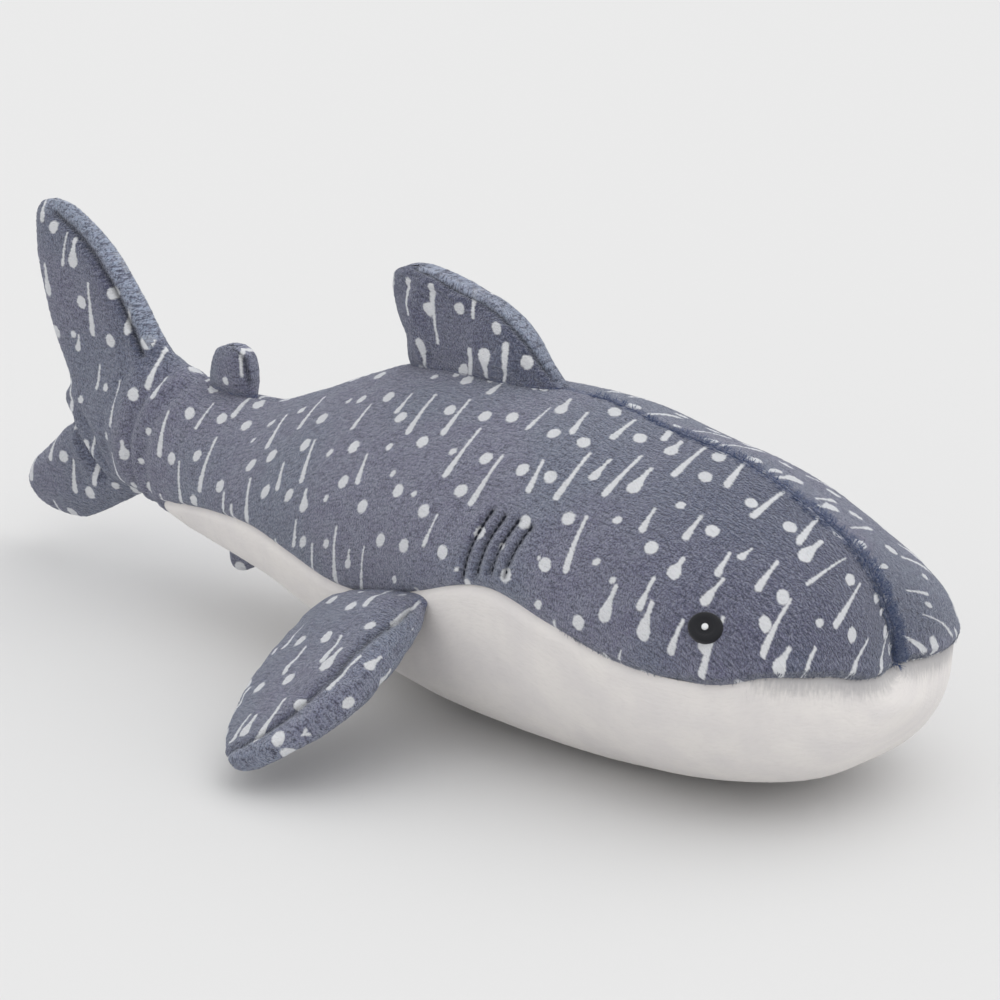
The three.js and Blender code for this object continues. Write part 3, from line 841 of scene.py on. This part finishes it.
# %% Small node helpers
class Wires:
    """Writes shader maths as short calls."""

    def __init__(self, tree):
        self.tree = tree

    def node(self, kind, **settings):
        node = self.tree.nodes.new(kind)
        for key, value in settings.items():
            setattr(node, key, value)
        return node

    def put(self, socket, value):
        if isinstance(value, bpy.types.NodeSocket):
            self.tree.links.new(value, socket)
        else:
            socket.default_value = value

    def maths(self, operation, *values):
        node = self.node("ShaderNodeMath", operation=operation)
        for socket, value in zip(node.inputs, values):
            self.put(socket, value)
        return node.outputs[0]

    def plus(self, a, b):
        return self.maths("ADD", a, b)

    def minus(self, a, b):
        return self.maths("SUBTRACT", a, b)

    def times(self, a, b):
        return self.maths("MULTIPLY", a, b)

    def over(self, a, b):
        return self.maths("DIVIDE", a, b)

    def swing(self, chance, reach):
        """Turns a chance from 0 to 1 into a move either way of nothing."""
        return self.times(self.minus(chance, 0.5), reach)

    def join(self, x, y, z=0.0):
        node = self.node("ShaderNodeCombineXYZ")
        for socket, value in zip(node.inputs, (x, y, z)):
            self.put(socket, value)
        return node.outputs[0]

    def fade(self, value, start, end):
        """0 at start, 1 at end, smooth between."""
        node = self.node("ShaderNodeMapRange", interpolation_type="SMOOTHSTEP")
        for socket, given in zip(node.inputs, (value, start, end, 0.0, 1.0)):
            self.put(socket, given)
        return node.outputs[0]

    def noise(self, vector, scale, detail=2.0, rough=0.5):
        node = self.node("ShaderNodeTexNoise", noise_dimensions="3D")
        for key, value in (("Vector", vector), ("Scale", scale), ("Detail", detail), ("Roughness", rough)):
            self.put(node.inputs[key], value)
        return node.outputs["Fac"]

    def mix(self, share, one, two):
        node = self.node("ShaderNodeMix", data_type="RGBA")
        self.put(node.inputs["Factor"], share)
        self.put(node.inputs[6], one)
        self.put(node.inputs[7], two)
        return node.outputs[2]

    def fact(self, name):
        """One of the facts that a panel keeps at its points."""
        return self.node("ShaderNodeAttribute", attribute_name=name).outputs["Fac"]

    def cloth_place(self):
        """The place on the cloth in millimetres, along and across."""
        split = self.node("ShaderNodeSeparateXYZ")
        self.put(split.inputs[0], self.node("ShaderNodeUVMap", uv_map="print").outputs[0])
        return (self.times(share, 1000.0) for share in split.outputs[:2])

    def raise_by(self, shader, height, strength, distance):
        """Fine relief: distance is in metres."""
        bump = self.node("ShaderNodeBump")
        bump.inputs["Strength"].default_value = strength
        bump.inputs["Distance"].default_value = distance
        self.put(bump.inputs["Height"], height)
        self.put(shader.inputs["Normal"], bump.outputs[0])


def srgb(r, g, b):
    """A colour given as the eye reads it, 0 to 255, as the linear numbers that Blender wants."""
    return tuple(c / 12.92 if c <= 0.04045 else ((c + 0.055) / 1.055) ** 2.4
                 for c in (r / 255, g / 255, b / 255)) + (1.0,)


def cloth_material(name, roughness, sheen, tint):
    """A new material and its shader; sheen is the soft rim that short fibres give."""
    material = bpy.data.materials.new(name)
    material.use_nodes = True
    shader = material.node_tree.nodes["Principled BSDF"]
    shader.inputs["Roughness"].default_value = roughness
    shader.inputs["Sheen Weight"].default_value = sheen
    shader.inputs["Sheen Roughness"].default_value = 0.45
    shader.inputs["Sheen Tint"].default_value = tint
    shader.inputs["Specular IOR Level"].default_value = 0.15
    return material, shader, Wires(material.node_tree)


# %% The print
def mark_layer(w, u, v, cell, shift, seed, marks):
    """One layer of marks. u and v are millimetres; marks are head, tail, shortest and longest, share."""
    wide, tall = cell
    head, tail, short, long, share = marks
    lane_place = w.over(w.plus(u, shift), wide)
    column = w.maths("FLOOR", lane_place)
    lane = w.node("ShaderNodeTexWhiteNoise", noise_dimensions="2D")
    w.put(lane.inputs["Vector"], w.join(column, seed + 0.5))
    moved = w.plus(w.over(v, tall), w.times(lane.outputs["Value"], 7.0))
    row = w.maths("FLOOR", moved)
    chance = w.node("ShaderNodeTexWhiteNoise", noise_dimensions="3D")
    w.put(chance.inputs["Vector"], w.join(column, row, seed + 0.25))
    parts = w.node("ShaderNodeSeparateColor")
    w.put(parts.inputs[0], chance.outputs["Color"])
    r, g, b = parts.outputs
    pick = chance.outputs["Value"]
    is_long = w.maths("GREATER_THAN", pick, share)
    length = w.times(w.plus(w.times(w.fade(pick, share, 1.0), long - short), short), is_long)
    room = w.maths("MAXIMUM", w.minus(tall * 0.42, length), 0.0)
    dx = w.minus(w.swing(w.minus(lane_place, column), wide), w.swing(r, wide * 0.42))
    dy = w.minus(w.swing(w.minus(moved, row), tall), w.times(w.minus(g, 0.5), room))
    dx = w.plus(dx, w.times(dy, w.swing(b, 0.3)))
    near = w.maths("MINIMUM", w.maths("MAXIMUM", dy, w.times(length, -1.0)), length)
    off = w.minus(dy, near)
    far = w.maths("SQRT", w.plus(w.times(dx, dx), w.times(off, off)))
    slide = w.over(w.plus(near, length), w.maths("MAXIMUM", w.times(length, 2.0), 0.01))
    slim = w.times(w.fade(slide, 1.0, 0.3), is_long)
    radius = w.minus(head, w.times(slim, head - tail))
    radius = w.times(radius, w.plus(w.times(w.fade(b, 0.0, 0.35), 0.45), 0.6))
    return w.minus(radius, far)


DOT_CELL, DASH_CELL = (16.5, 20.0), (16.5, 33.0)  # millimetres along and across the cloth
DOTS = (2.6, 0.95, 2.6, 5.5, 0.82)  # head and tail radius, half lengths, and the share that are dots
DASHES = (1.45, 0.75, 4.5, 11.0, 0.15)
# painted light on the pile: shade, rim sheen and highlights on the fibre tips
PAINTED_SHADE_BLUE, PAINTED_SHEEN_BLUE, PAINTED_FIBRE_HIGHLIGHT = srgb(54, 62, 96), srgb(170, 182, 204), srgb(172, 174, 194)
FIBRE_GAP_SHADE, DEEP_FIBRE_GAP_SHADE, GROOVE_SHADE_AND_THREAD = srgb(56, 58, 78), srgb(46, 48, 68), srgb(24, 26, 34)  # painted shade between the fibres; the last is painted shade in grooves, as dark as thread
# a greyer white that the marks take on where the hairs noise is low
GREYER_WHITE = srgb(190, 194, 206)


def printed_pile(name, base, dark, cool, white, edge_blue):
    """Short printed pile: a blue-grey ground, its brushed edge, its fibres and its marks, with painted
    shade, sheen and highlights on the pile and painted shade in its creases.
    """
    material, shader, w = cloth_material(name, 0.9, 0.6, (0.86, 0.9, 1.0, 1.0))
    along, across = w.cloth_place()
    lean = w.swing(w.noise(w.join(along, across), 0.035, 1.0), 14.0)
    streaks = w.noise(w.join(w.times(w.plus(along, lean), 0.35), across), 0.9, 3.0, 0.6)
    hairs = w.noise(w.join(w.times(along, 0.6), w.plus(across, lean)), 1.1, 3.0, 0.7)
    grain = w.noise(w.join(along, w.times(across, 0.8)), 1.5, 2.0, 0.7)
    clumps = w.noise(w.join(w.times(along, 0.6), across), 0.16, 2.0)
    tone = w.noise(w.join(along, across, 40.0), 0.02, 1.0)
    brushed, creased, paled, shaded = (w.fact(tint) for tint in TINTS)

    lane = w.plus(along, w.times(w.maths("SINE", w.times(across, 0.045)), 1.5))
    dots = mark_layer(w, lane, across, DOT_CELL, 0.0, 3.0, DOTS)
    dashes = mark_layer(w, lane, across, DASH_CELL, DASH_CELL[0] / 2, 8.0, DASHES)
    fray = w.plus(w.swing(streaks, 1.2), w.swing(hairs, 1.0))
    mark = w.fade(w.plus(w.maths("MAXIMUM", dots, dashes), fray), -0.35, 0.55)
    ragged = w.fade(w.plus(brushed, w.swing(streaks, 1.2)), 0.45, 0.95)
    hidden = w.maths("MAXIMUM", ragged, w.fade(paled, 0.35, 0.7))
    cover = w.times(mark, w.minus(1.0, w.times(hidden, 0.85)))

    colour = base
    for share, laid in (
            (w.fade(clumps, 0.3, 0.72), dark),
            (w.times(w.fade(tone, 0.42, 0.62), 0.5), cool),
            # painted shade on the head and the fins
            (w.times(shaded, 0.85), PAINTED_SHADE_BLUE),
            (ragged, edge_blue),
            # painted sheen on the rims
            (w.times(paled, w.fade(streaks, 0.1, 0.65)), PAINTED_SHEEN_BLUE),
            # painted highlights on the fibre tips, and painted shade between the fibres
            (w.times(w.fade(hairs, 0.46, 0.62), 0.52), PAINTED_FIBRE_HIGHLIGHT),
            (w.times(w.fade(streaks, 0.52, 0.38), 0.6), FIBRE_GAP_SHADE),
            (w.times(w.fade(grain, 0.53, 0.38), 0.72), DEEP_FIBRE_GAP_SHADE),
            (w.times(cover, 0.97), w.mix(w.times(w.fade(hairs, 0.5, 0.3), 0.2), white, GREYER_WHITE)),
            # painted shade in the grooves, as dark as the thread
            (w.times(creased, 0.92), GROOVE_SHADE_AND_THREAD)):
        colour = w.mix(share, colour, laid)
    w.put(shader.inputs["Base Color"], colour)
    height = w.plus(w.times(w.plus(streaks, hairs), 0.4), w.times(grain, 0.6))
    w.raise_by(shader, height, 1.0, 0.0027)
    return material


def white_pile(name):
    """Plain white pile, greyed where the brushed blue fibres of the lip lie over it, with painted shadow
    under the overhanging lip.
    """
    material, shader, w = cloth_material(name, 0.92, 0.3, (1.0, 0.99, 0.97, 1.0))
    along, across = w.cloth_place()
    streaks = w.noise(w.join(w.times(along, 0.4), across), 0.8, 3.0, 0.55)
    clouds = w.noise(w.join(along, across), 0.05, 2.0)
    girth = w.noise(w.join(along, w.times(across, 0.25)), 0.9, 3.0, 0.6)
    ragged = w.fade(w.plus(w.fact("brushed"), w.swing(girth, 0.9)), 0.1, 1.0)
    colour = w.mix(w.fade(clouds, 0.3, 0.7), srgb(228, 224, 221), srgb(220, 216, 215))
    colour = w.mix(w.times(w.fade(streaks, 0.55, 0.3), 0.16), colour, srgb(205, 201, 201))
    # grey from the lip's fibres and painted shadow under the lip
    w.put(shader.inputs["Base Color"], w.mix(w.times(ragged, 0.6), colour, srgb(140, 140, 144)))
    w.raise_by(shader, streaks, 0.35, 0.0006)
    return material


blue_cloth = printed_pile("printed pile", srgb(142, 143, 164), srgb(126, 124, 150), srgb(119, 134, 152),
                          srgb(250, 251, 254), srgb(62, 78, 122))
white_cloth = white_pile("white pile")
print("finishes:", blue_cloth.name, "and", white_cloth.name)

# %% Thread finish
def thread_material(name, colour, light):
    """Twisted thread: a fine slanting stripe of light and dark on the stitch."""
    material, shader, w = cloth_material(name, 0.6, 0.2, (1.0, 1.0, 1.0, 1.0))
    place = w.node("ShaderNodeTexCoord")
    wave = w.node("ShaderNodeTexWave", wave_type="BANDS", bands_direction="DIAGONAL")
    w.put(wave.inputs["Vector"], place.outputs["Object"])
    wave.inputs["Scale"].default_value = 900.0
    wave.inputs["Distortion"].default_value = 1.5
    w.put(shader.inputs["Base Color"], w.mix(wave.outputs["Fac"], colour, light))
    w.raise_by(shader, wave.outputs["Fac"], 0.5, 0.0002)
    return material


blue_thread = thread_material("blue thread", srgb(62, 68, 88), srgb(84, 90, 112))
gill_thread = thread_material("dark blue thread", srgb(24, 26, 34), srgb(44, 48, 62))
eye_thread = thread_material("black thread", srgb(20, 20, 23), srgb(44, 45, 50))
white_thread = thread_material("white thread", srgb(226, 228, 232), srgb(245, 245, 245))

# %% [markdown]
# ## Dressing the body
# The back and belly panels run over the hinge behind the dorsal fin, so each is one piece.
# Here each is only fixed where it lies; nothing bends it with the body or the tail.


def bend_body(piece):
    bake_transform(piece)


def bend_tail(piece):
    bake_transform(piece)


OTHER_CUT = 400  # the left panels are cut from another place in the print

for name in SIDES:
    if name == "left":
        backs[name].along += OTHER_CUT
        tails[name].along += OTHER_CUT
    skin = panel(f"back_cloth_{name}", backs[name], blue_cloth)
    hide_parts(f"back_panel_{name}", f"tail_panel_{name}")
    bend_body(skin)
    skin = panel(f"tail_fin_cloth_{name}", tails[name], blue_cloth)
    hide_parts(f"tail_fin_{name}_panel")
    if name == "right":
        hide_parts("tail_fin_right_panel", "tail_fin_filling")
    bend_tail(skin)

SMOOTH_PILE = {"pile": 0.3, "streak": (4.0, 1.6)}
belly_cloth = panel("belly_cloth", belly, white_cloth, **SMOOTH_PILE)
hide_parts("belly_panel", "tail_belly_panel", "body_filling", "tail_filling")
bend_body(belly_cloth)
belly_end = panel("belly_cloth_end", white_end, white_cloth, **SMOOTH_PILE)
bend_tail(belly_end)
print("body dressed")

# %% Fin panels
UPRIGHT, LEVEL = ("right_panel", "left_panel"), ("upper_panel", "lower_panel")
FIN_CLOTHS = [  # each fin's name is also its body's
    ("dorsal_fin", UPRIGHT, dorsal),
    ("second_dorsal_fin", UPRIGHT, second),
    ("anal_fin", UPRIGHT, anal),
    ("pectoral_fin_right", LEVEL, pectorals["right"]),
    ("pectoral_fin_left", LEVEL, pectorals["left"]),
]
for name, faces, sheets in FIN_CLOTHS:
    for face, sheet in zip(faces, sheets):
        cloth = panel(f"{name}_{face}_cloth", sheet, blue_cloth, pile=0.5)
        replaced = [f"{name}_{face}"] + ([f"{name}_filling"] if face == faces[0] else [])
        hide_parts(*replaced)
        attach(cloth, name)
print("fins dressed")

# %% [markdown]
# ## Stitches
# A seam's thread shows as a row of short stitches deep in the groove. Each stitch is one small
# stretched icosphere, because hundreds of them have to stay light, turned along the line.

# %% Rows of stitches
def stitch_row(name, line, radius, length, material, gap=0.25):
    """Stitches end to end along a line of points in millimetres."""
    keys_on = run_length(line)
    count = max(1, int(keys_on[-1] / length))
    bm = bmesh.new()
    for k in range(count):
        a, b = ((k + gap / 2) * keys_on[-1] / count, (k + 1 - gap / 2) * keys_on[-1] / count)
        ends = [Vector([np.interp(t, keys_on, line[:, c]) * MM for c in range(3)]) for t in (a, b)]
        along = ends[1] - ends[0]
        turn = along.to_track_quat("X", "Z").to_matrix().to_4x4()
        size = Matrix.Diagonal((along.length / 2 + radius * MM * 0.6, radius * MM, radius * MM, 1))
        bmesh.ops.create_icosphere(
            bm, subdivisions=1, radius=1, matrix=Matrix.Translation((ends[0] + ends[1]) / 2) @ turn @ size)
    return made(name, bm, material)


def sew(name, line, nodes, hold, radius=0.42, length=3.2, material=blue_thread):
    thread = stitch_row(name, line, radius, length, material)
    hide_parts(*nodes)
    hold(thread)
    return thread


def on_body(body_name):
    return lambda piece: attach(piece, body_name)


crest = (backs["right"].points[4:, 0] + backs["left"].points[4:, 0]) / 2
crest = crest - [0, 0, 0.1] - ease(crest[:, :1], 84, 72) * [0, 0, 1.4]
sew("crest_stitches", crest, ["back_seam_thread", "tail_top_seam_thread"], bend_body)
for name, side in SIDES.items():
    seam = backs[name].points[4:, -1] - [0, 0.7 * side, 0]
    sew(f"side_stitches_{name}", seam, [f"side_seam_thread_{name}", f"tail_seam_thread_{name}"],
        bend_body, radius=0.3, material=white_thread)
rear_seam = np.concatenate([tails["right"].points[:, 0], tails["right"].points[-1, 1:],
                            tails["right"].points[::-1, -1]]) * [1, 0, 1]
rear_seam = rear_seam + 0.02 * ([-165, 0, 75] - rear_seam)
sew("tail_fin_stitches", rear_seam[8:-8], ["tail_fin_seam_thread"], bend_tail, radius=0.3)
for name, faces, sheets in FIN_CLOTHS:
    edge = np.concatenate([sheets[0].points[:-1, 0], sheets[0].points[::-1, -1]])
    edge = edge + 0.04 * (sheets[0].points.mean(axis=(0, 1)) - edge)
    sew(f"{name}_stitches", edge, [f"{name}_seam_thread"], on_body(name), radius=0.3)
print("seams sewn")

# %% [markdown]
# ## Brushed tufts
# Along the crest and the mouth the pile is brushed up over the stitching, so those edges are never a
# clean line. Each tuft is a three sided spike, the lightest shape that still catches light from every
# side. It leans across the cloth, with a little chance in its turn and length.

# %% Tufts along the seams
def tuft_material(name, deep, pale):
    material, shader, w = cloth_material(name, 0.9, 0.4, (0.8, 0.86, 1.0, 1.0))
    place = w.node("ShaderNodeTexCoord").outputs["Object"]
    share = w.fade(w.noise(place, 900.0, 1.0), 0.35, 0.65)
    w.put(shader.inputs["Base Color"], w.mix(share, deep, pale))
    return material


crest_fibre = tuft_material("crest fibre", srgb(62, 78, 116), srgb(104, 114, 140))
lip_fibre = tuft_material("lip fibre", srgb(92, 97, 114), srgb(150, 153, 162))


def tufts(name, sheet, places, lean, length, count, seed, material, radius=0.24):
    """Spikes at chance places of a sheet. lean is how far each goes along, across and out."""
    chance = np.random.default_rng(seed)
    along, across = np.gradient(sheet.points, axis=0), np.gradient(sheet.points, axis=1)
    out = sheet.normals()
    picks = chance.choice(len(places[0]), count)
    bm = bmesh.new()
    for i, j in zip(places[0][picks], places[1][picks]):
        ways = [Vector(d[i, j]).normalized() for d in (along, across, out)]
        lean_now = np.array(lean) + chance.normal(0, (0.28, 0.28, 0.1))
        way = sum((w * float(a) for w, a in zip(ways, lean_now)), Vector()).normalized()
        long = length * chance.uniform(0.6, 1.2)
        root = Vector(sheet.points[i, j])
        root += ways[0] * chance.uniform(-0.7, 0.7) + ways[1] * chance.uniform(-0.7, 0.7)
        middle = (root + way * long * 0.42) * MM
        turn = way.to_track_quat("Z", "X").to_matrix().to_4x4()
        bmesh.ops.create_cone(
            bm, cap_ends=False, segments=3, radius1=radius * MM, radius2=0.04 * MM, depth=long * MM,
            matrix=Matrix.Translation(middle) @ turn)
    return made(name, bm, material)


for name in SIDES:
    sheet = backs[name]
    x = sheet.points[..., 0]
    on_crest = np.nonzero((sheet.across < 1.5 + 2.5 * ease(x, 60, 180)) & (x > 80) & (x < 221))
    fringe = tufts(
        f"crest_tufts_{name}", sheet, on_crest, (0.35, 0.9, 0.3), 2.2, 1500, 21, crest_fibre, 0.17)
    bend_body(fringe)
    to_edge = sheet.across[:, -1:] - sheet.across
    on_lip = np.nonzero((to_edge < 2.6) & (to_edge > 0.6) & (x > 120) & (x < 222))
    fringe = tufts(f"lip_tufts_{name}", sheet, on_lip, (0.2, 1.0, 0.2), 1.9, 900, 22, lip_fibre, 0.16)
    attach(fringe, "body")
print("tufts brushed up")

# %% [markdown]
# ## Gills
# Four slits on each side are rows of dark stitches pulled tight, so each lies in its own groove.

# %% Gill stitches
for name, side in SIDES.items():
    for number, line in enumerate(gill_lines[name]):
        sunk = line - np.array([0, side * 0.75, 0])
        sew(f"gill_{name}_{number + 1}", sunk, [f"gill_stitch_{name}_{number + 1}"],
            on_body("body"), radius=0.62, length=2.6, material=gill_thread)

# %% [markdown]
# ## Eyes
# Each eye is embroidered: a thick black ring of satin stitches round a flatter middle, and a small
# white knot of thread for the catchlight. Both are discs, inset and raised, with every other spoke
# lifted so that the stitches show as real relief.

# %% Embroidered eyes
def eye_frame(side):
    """The eye's place, and its directions across, up and out of the skin."""
    here, ahead, above = (
        head_turned(body_surface(x, z, side))
        for x, z in ((EYE_X, EYE_Z), (EYE_X + 4, EYE_Z), (EYE_X, EYE_Z + 4)))
    across, up = Vector(ahead - here).normalized(), Vector(above - here).normalized()
    out = across.cross(up).normalized()
    if out.y * side < 0:
        out = -out
    across = (up.cross(out) if side > 0 else out.cross(up)).normalized()
    up = up - out * up.dot(out)
    return Vector(here), across, up.normalized(), out


def embroidered_disc(name, side, half, steps, spokes, material, lift):
    """A disc of rings: steps are pairs of radius share and height, from the rim inwards."""
    here, across, up, out = eye_frame(side)
    bm = bmesh.new()
    bmesh.ops.create_circle(bm, cap_ends=True, radius=1, segments=spokes)
    face = next(iter(bm.faces))
    for v in face.verts:
        v.co.z = steps[0][1]
    for before, (share, height) in zip(steps, steps[1:]):
        bmesh.ops.inset_individual(bm, faces=[face], thickness=before[0] - share, use_even_offset=False)
        for v in face.verts:
            flat = v.co.xy.normalized() * share
            v.co = (flat.x, flat.y, height)
    bmesh.ops.poke(bm, faces=[face])
    for v in bm.verts:
        angle = math.atan2(v.co.y, v.co.x)
        ridge = 0.16 * math.sin(angle * spokes / 2) * (0.25 < v.co.xy.length < 0.98)
        flat_place = across * (v.co.x * half[0]) + up * (v.co.y * half[1])
        bow = -0.012 * (flat_place.length ** 2)
        v.co = (here + flat_place + out * (v.co.z + lift + ridge + bow)) * MM
    bmesh.ops.recalc_face_normals(bm, faces=bm.faces)
    piece = made(name, bm, material)
    rounded(piece)
    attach(piece, "body")
    return piece


EYE_HALF, GLINT_HALF = (6.7, 5.8), (1.3, 1.3)
RING_STEPS = [(1.0, -1.6), (0.98, 0.1), (0.88, 0.75), (0.72, 0.95), (0.56, 0.75), (0.46, 0.35),
              (0.3, 0.3), (0.12, 0.32)]
GLINT_STEPS = [(1.0, -0.4), (0.9, 0.2), (0.6, 0.4), (0.2, 0.45)]
for name, side in SIDES.items():
    ring = embroidered_disc(f"eye_ring_{name}", side, EYE_HALF, RING_STEPS, 64, eye_thread, -0.3)
    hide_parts(f"eye_{name}")
    glint = embroidered_disc(f"eye_glint_{name}", side, GLINT_HALF, GLINT_STEPS, 16, white_thread, 0.3)
    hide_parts(f"eye_highlight_{name}")
print("eyes and gills sewn")

# %% [markdown]
# ## Floor, light and camera
# A wide pale floor, one large soft light overhead and a pale sky give the even light of a product
# studio. The camera stands in front of the shark's right side, a little above it.

# %% The studio
floor_bm = bmesh.new()
bmesh.ops.create_grid(floor_bm, x_segments=1, y_segments=1, size=20)
floor_finish = bpy.data.materials.new("pale floor")
floor_finish.use_nodes = True
floor_shader = floor_finish.node_tree.nodes["Principled BSDF"]
floor_shader.inputs["Base Color"].default_value = srgb(219, 219, 219)
floor_shader.inputs["Roughness"].default_value = 0.9
floor_shader.inputs["Specular IOR Level"].default_value = 0.0
floor = made("floor", floor_bm, floor_finish)
floor.location.z = -0.0006  # just under the belly, so that the two never lie in one plane

bpy.context.scene.view_settings.view_transform = "Standard"
TARGET = Vector((0.035, 0, 0.075))
sun_data = bpy.data.lights.new("big soft light", "SUN")
sun_data.energy, sun_data.angle = 0.75, math.radians(85)
sun = bpy.data.objects.new("big soft light", sun_data)
bpy.context.scene.collection.objects.link(sun)
sun.rotation_euler = Vector((-0.35, -0.45, -1.0)).to_track_quat("-Z", "Y").to_euler()
world = bpy.data.worlds.new("sky")
bpy.context.scene.world = world
world.use_nodes = True
world.node_tree.nodes["Background"].inputs["Color"].default_value = (1, 1, 1, 1)
world.node_tree.nodes["Background"].inputs["Strength"].default_value = 0.96

AZIMUTH, ELEVATION, DISTANCE = math.radians(40), math.radians(20), 1.5
LENS, SENSOR = 142.2, 36
back = Vector((math.sin(AZIMUTH) * math.cos(ELEVATION), -math.cos(AZIMUTH) * math.cos(ELEVATION),
               math.sin(ELEVATION)))
camera_data = bpy.data.cameras.new("camera")
camera_data.lens, camera_data.sensor_width = LENS, SENSOR
camera = bpy.data.objects.new("camera", camera_data)
bpy.context.scene.collection.objects.link(camera)
camera.location = TARGET + back * DISTANCE
camera.rotation_euler = (-back).to_track_quat("-Z", "Y").to_euler()
bpy.context.scene.camera = camera
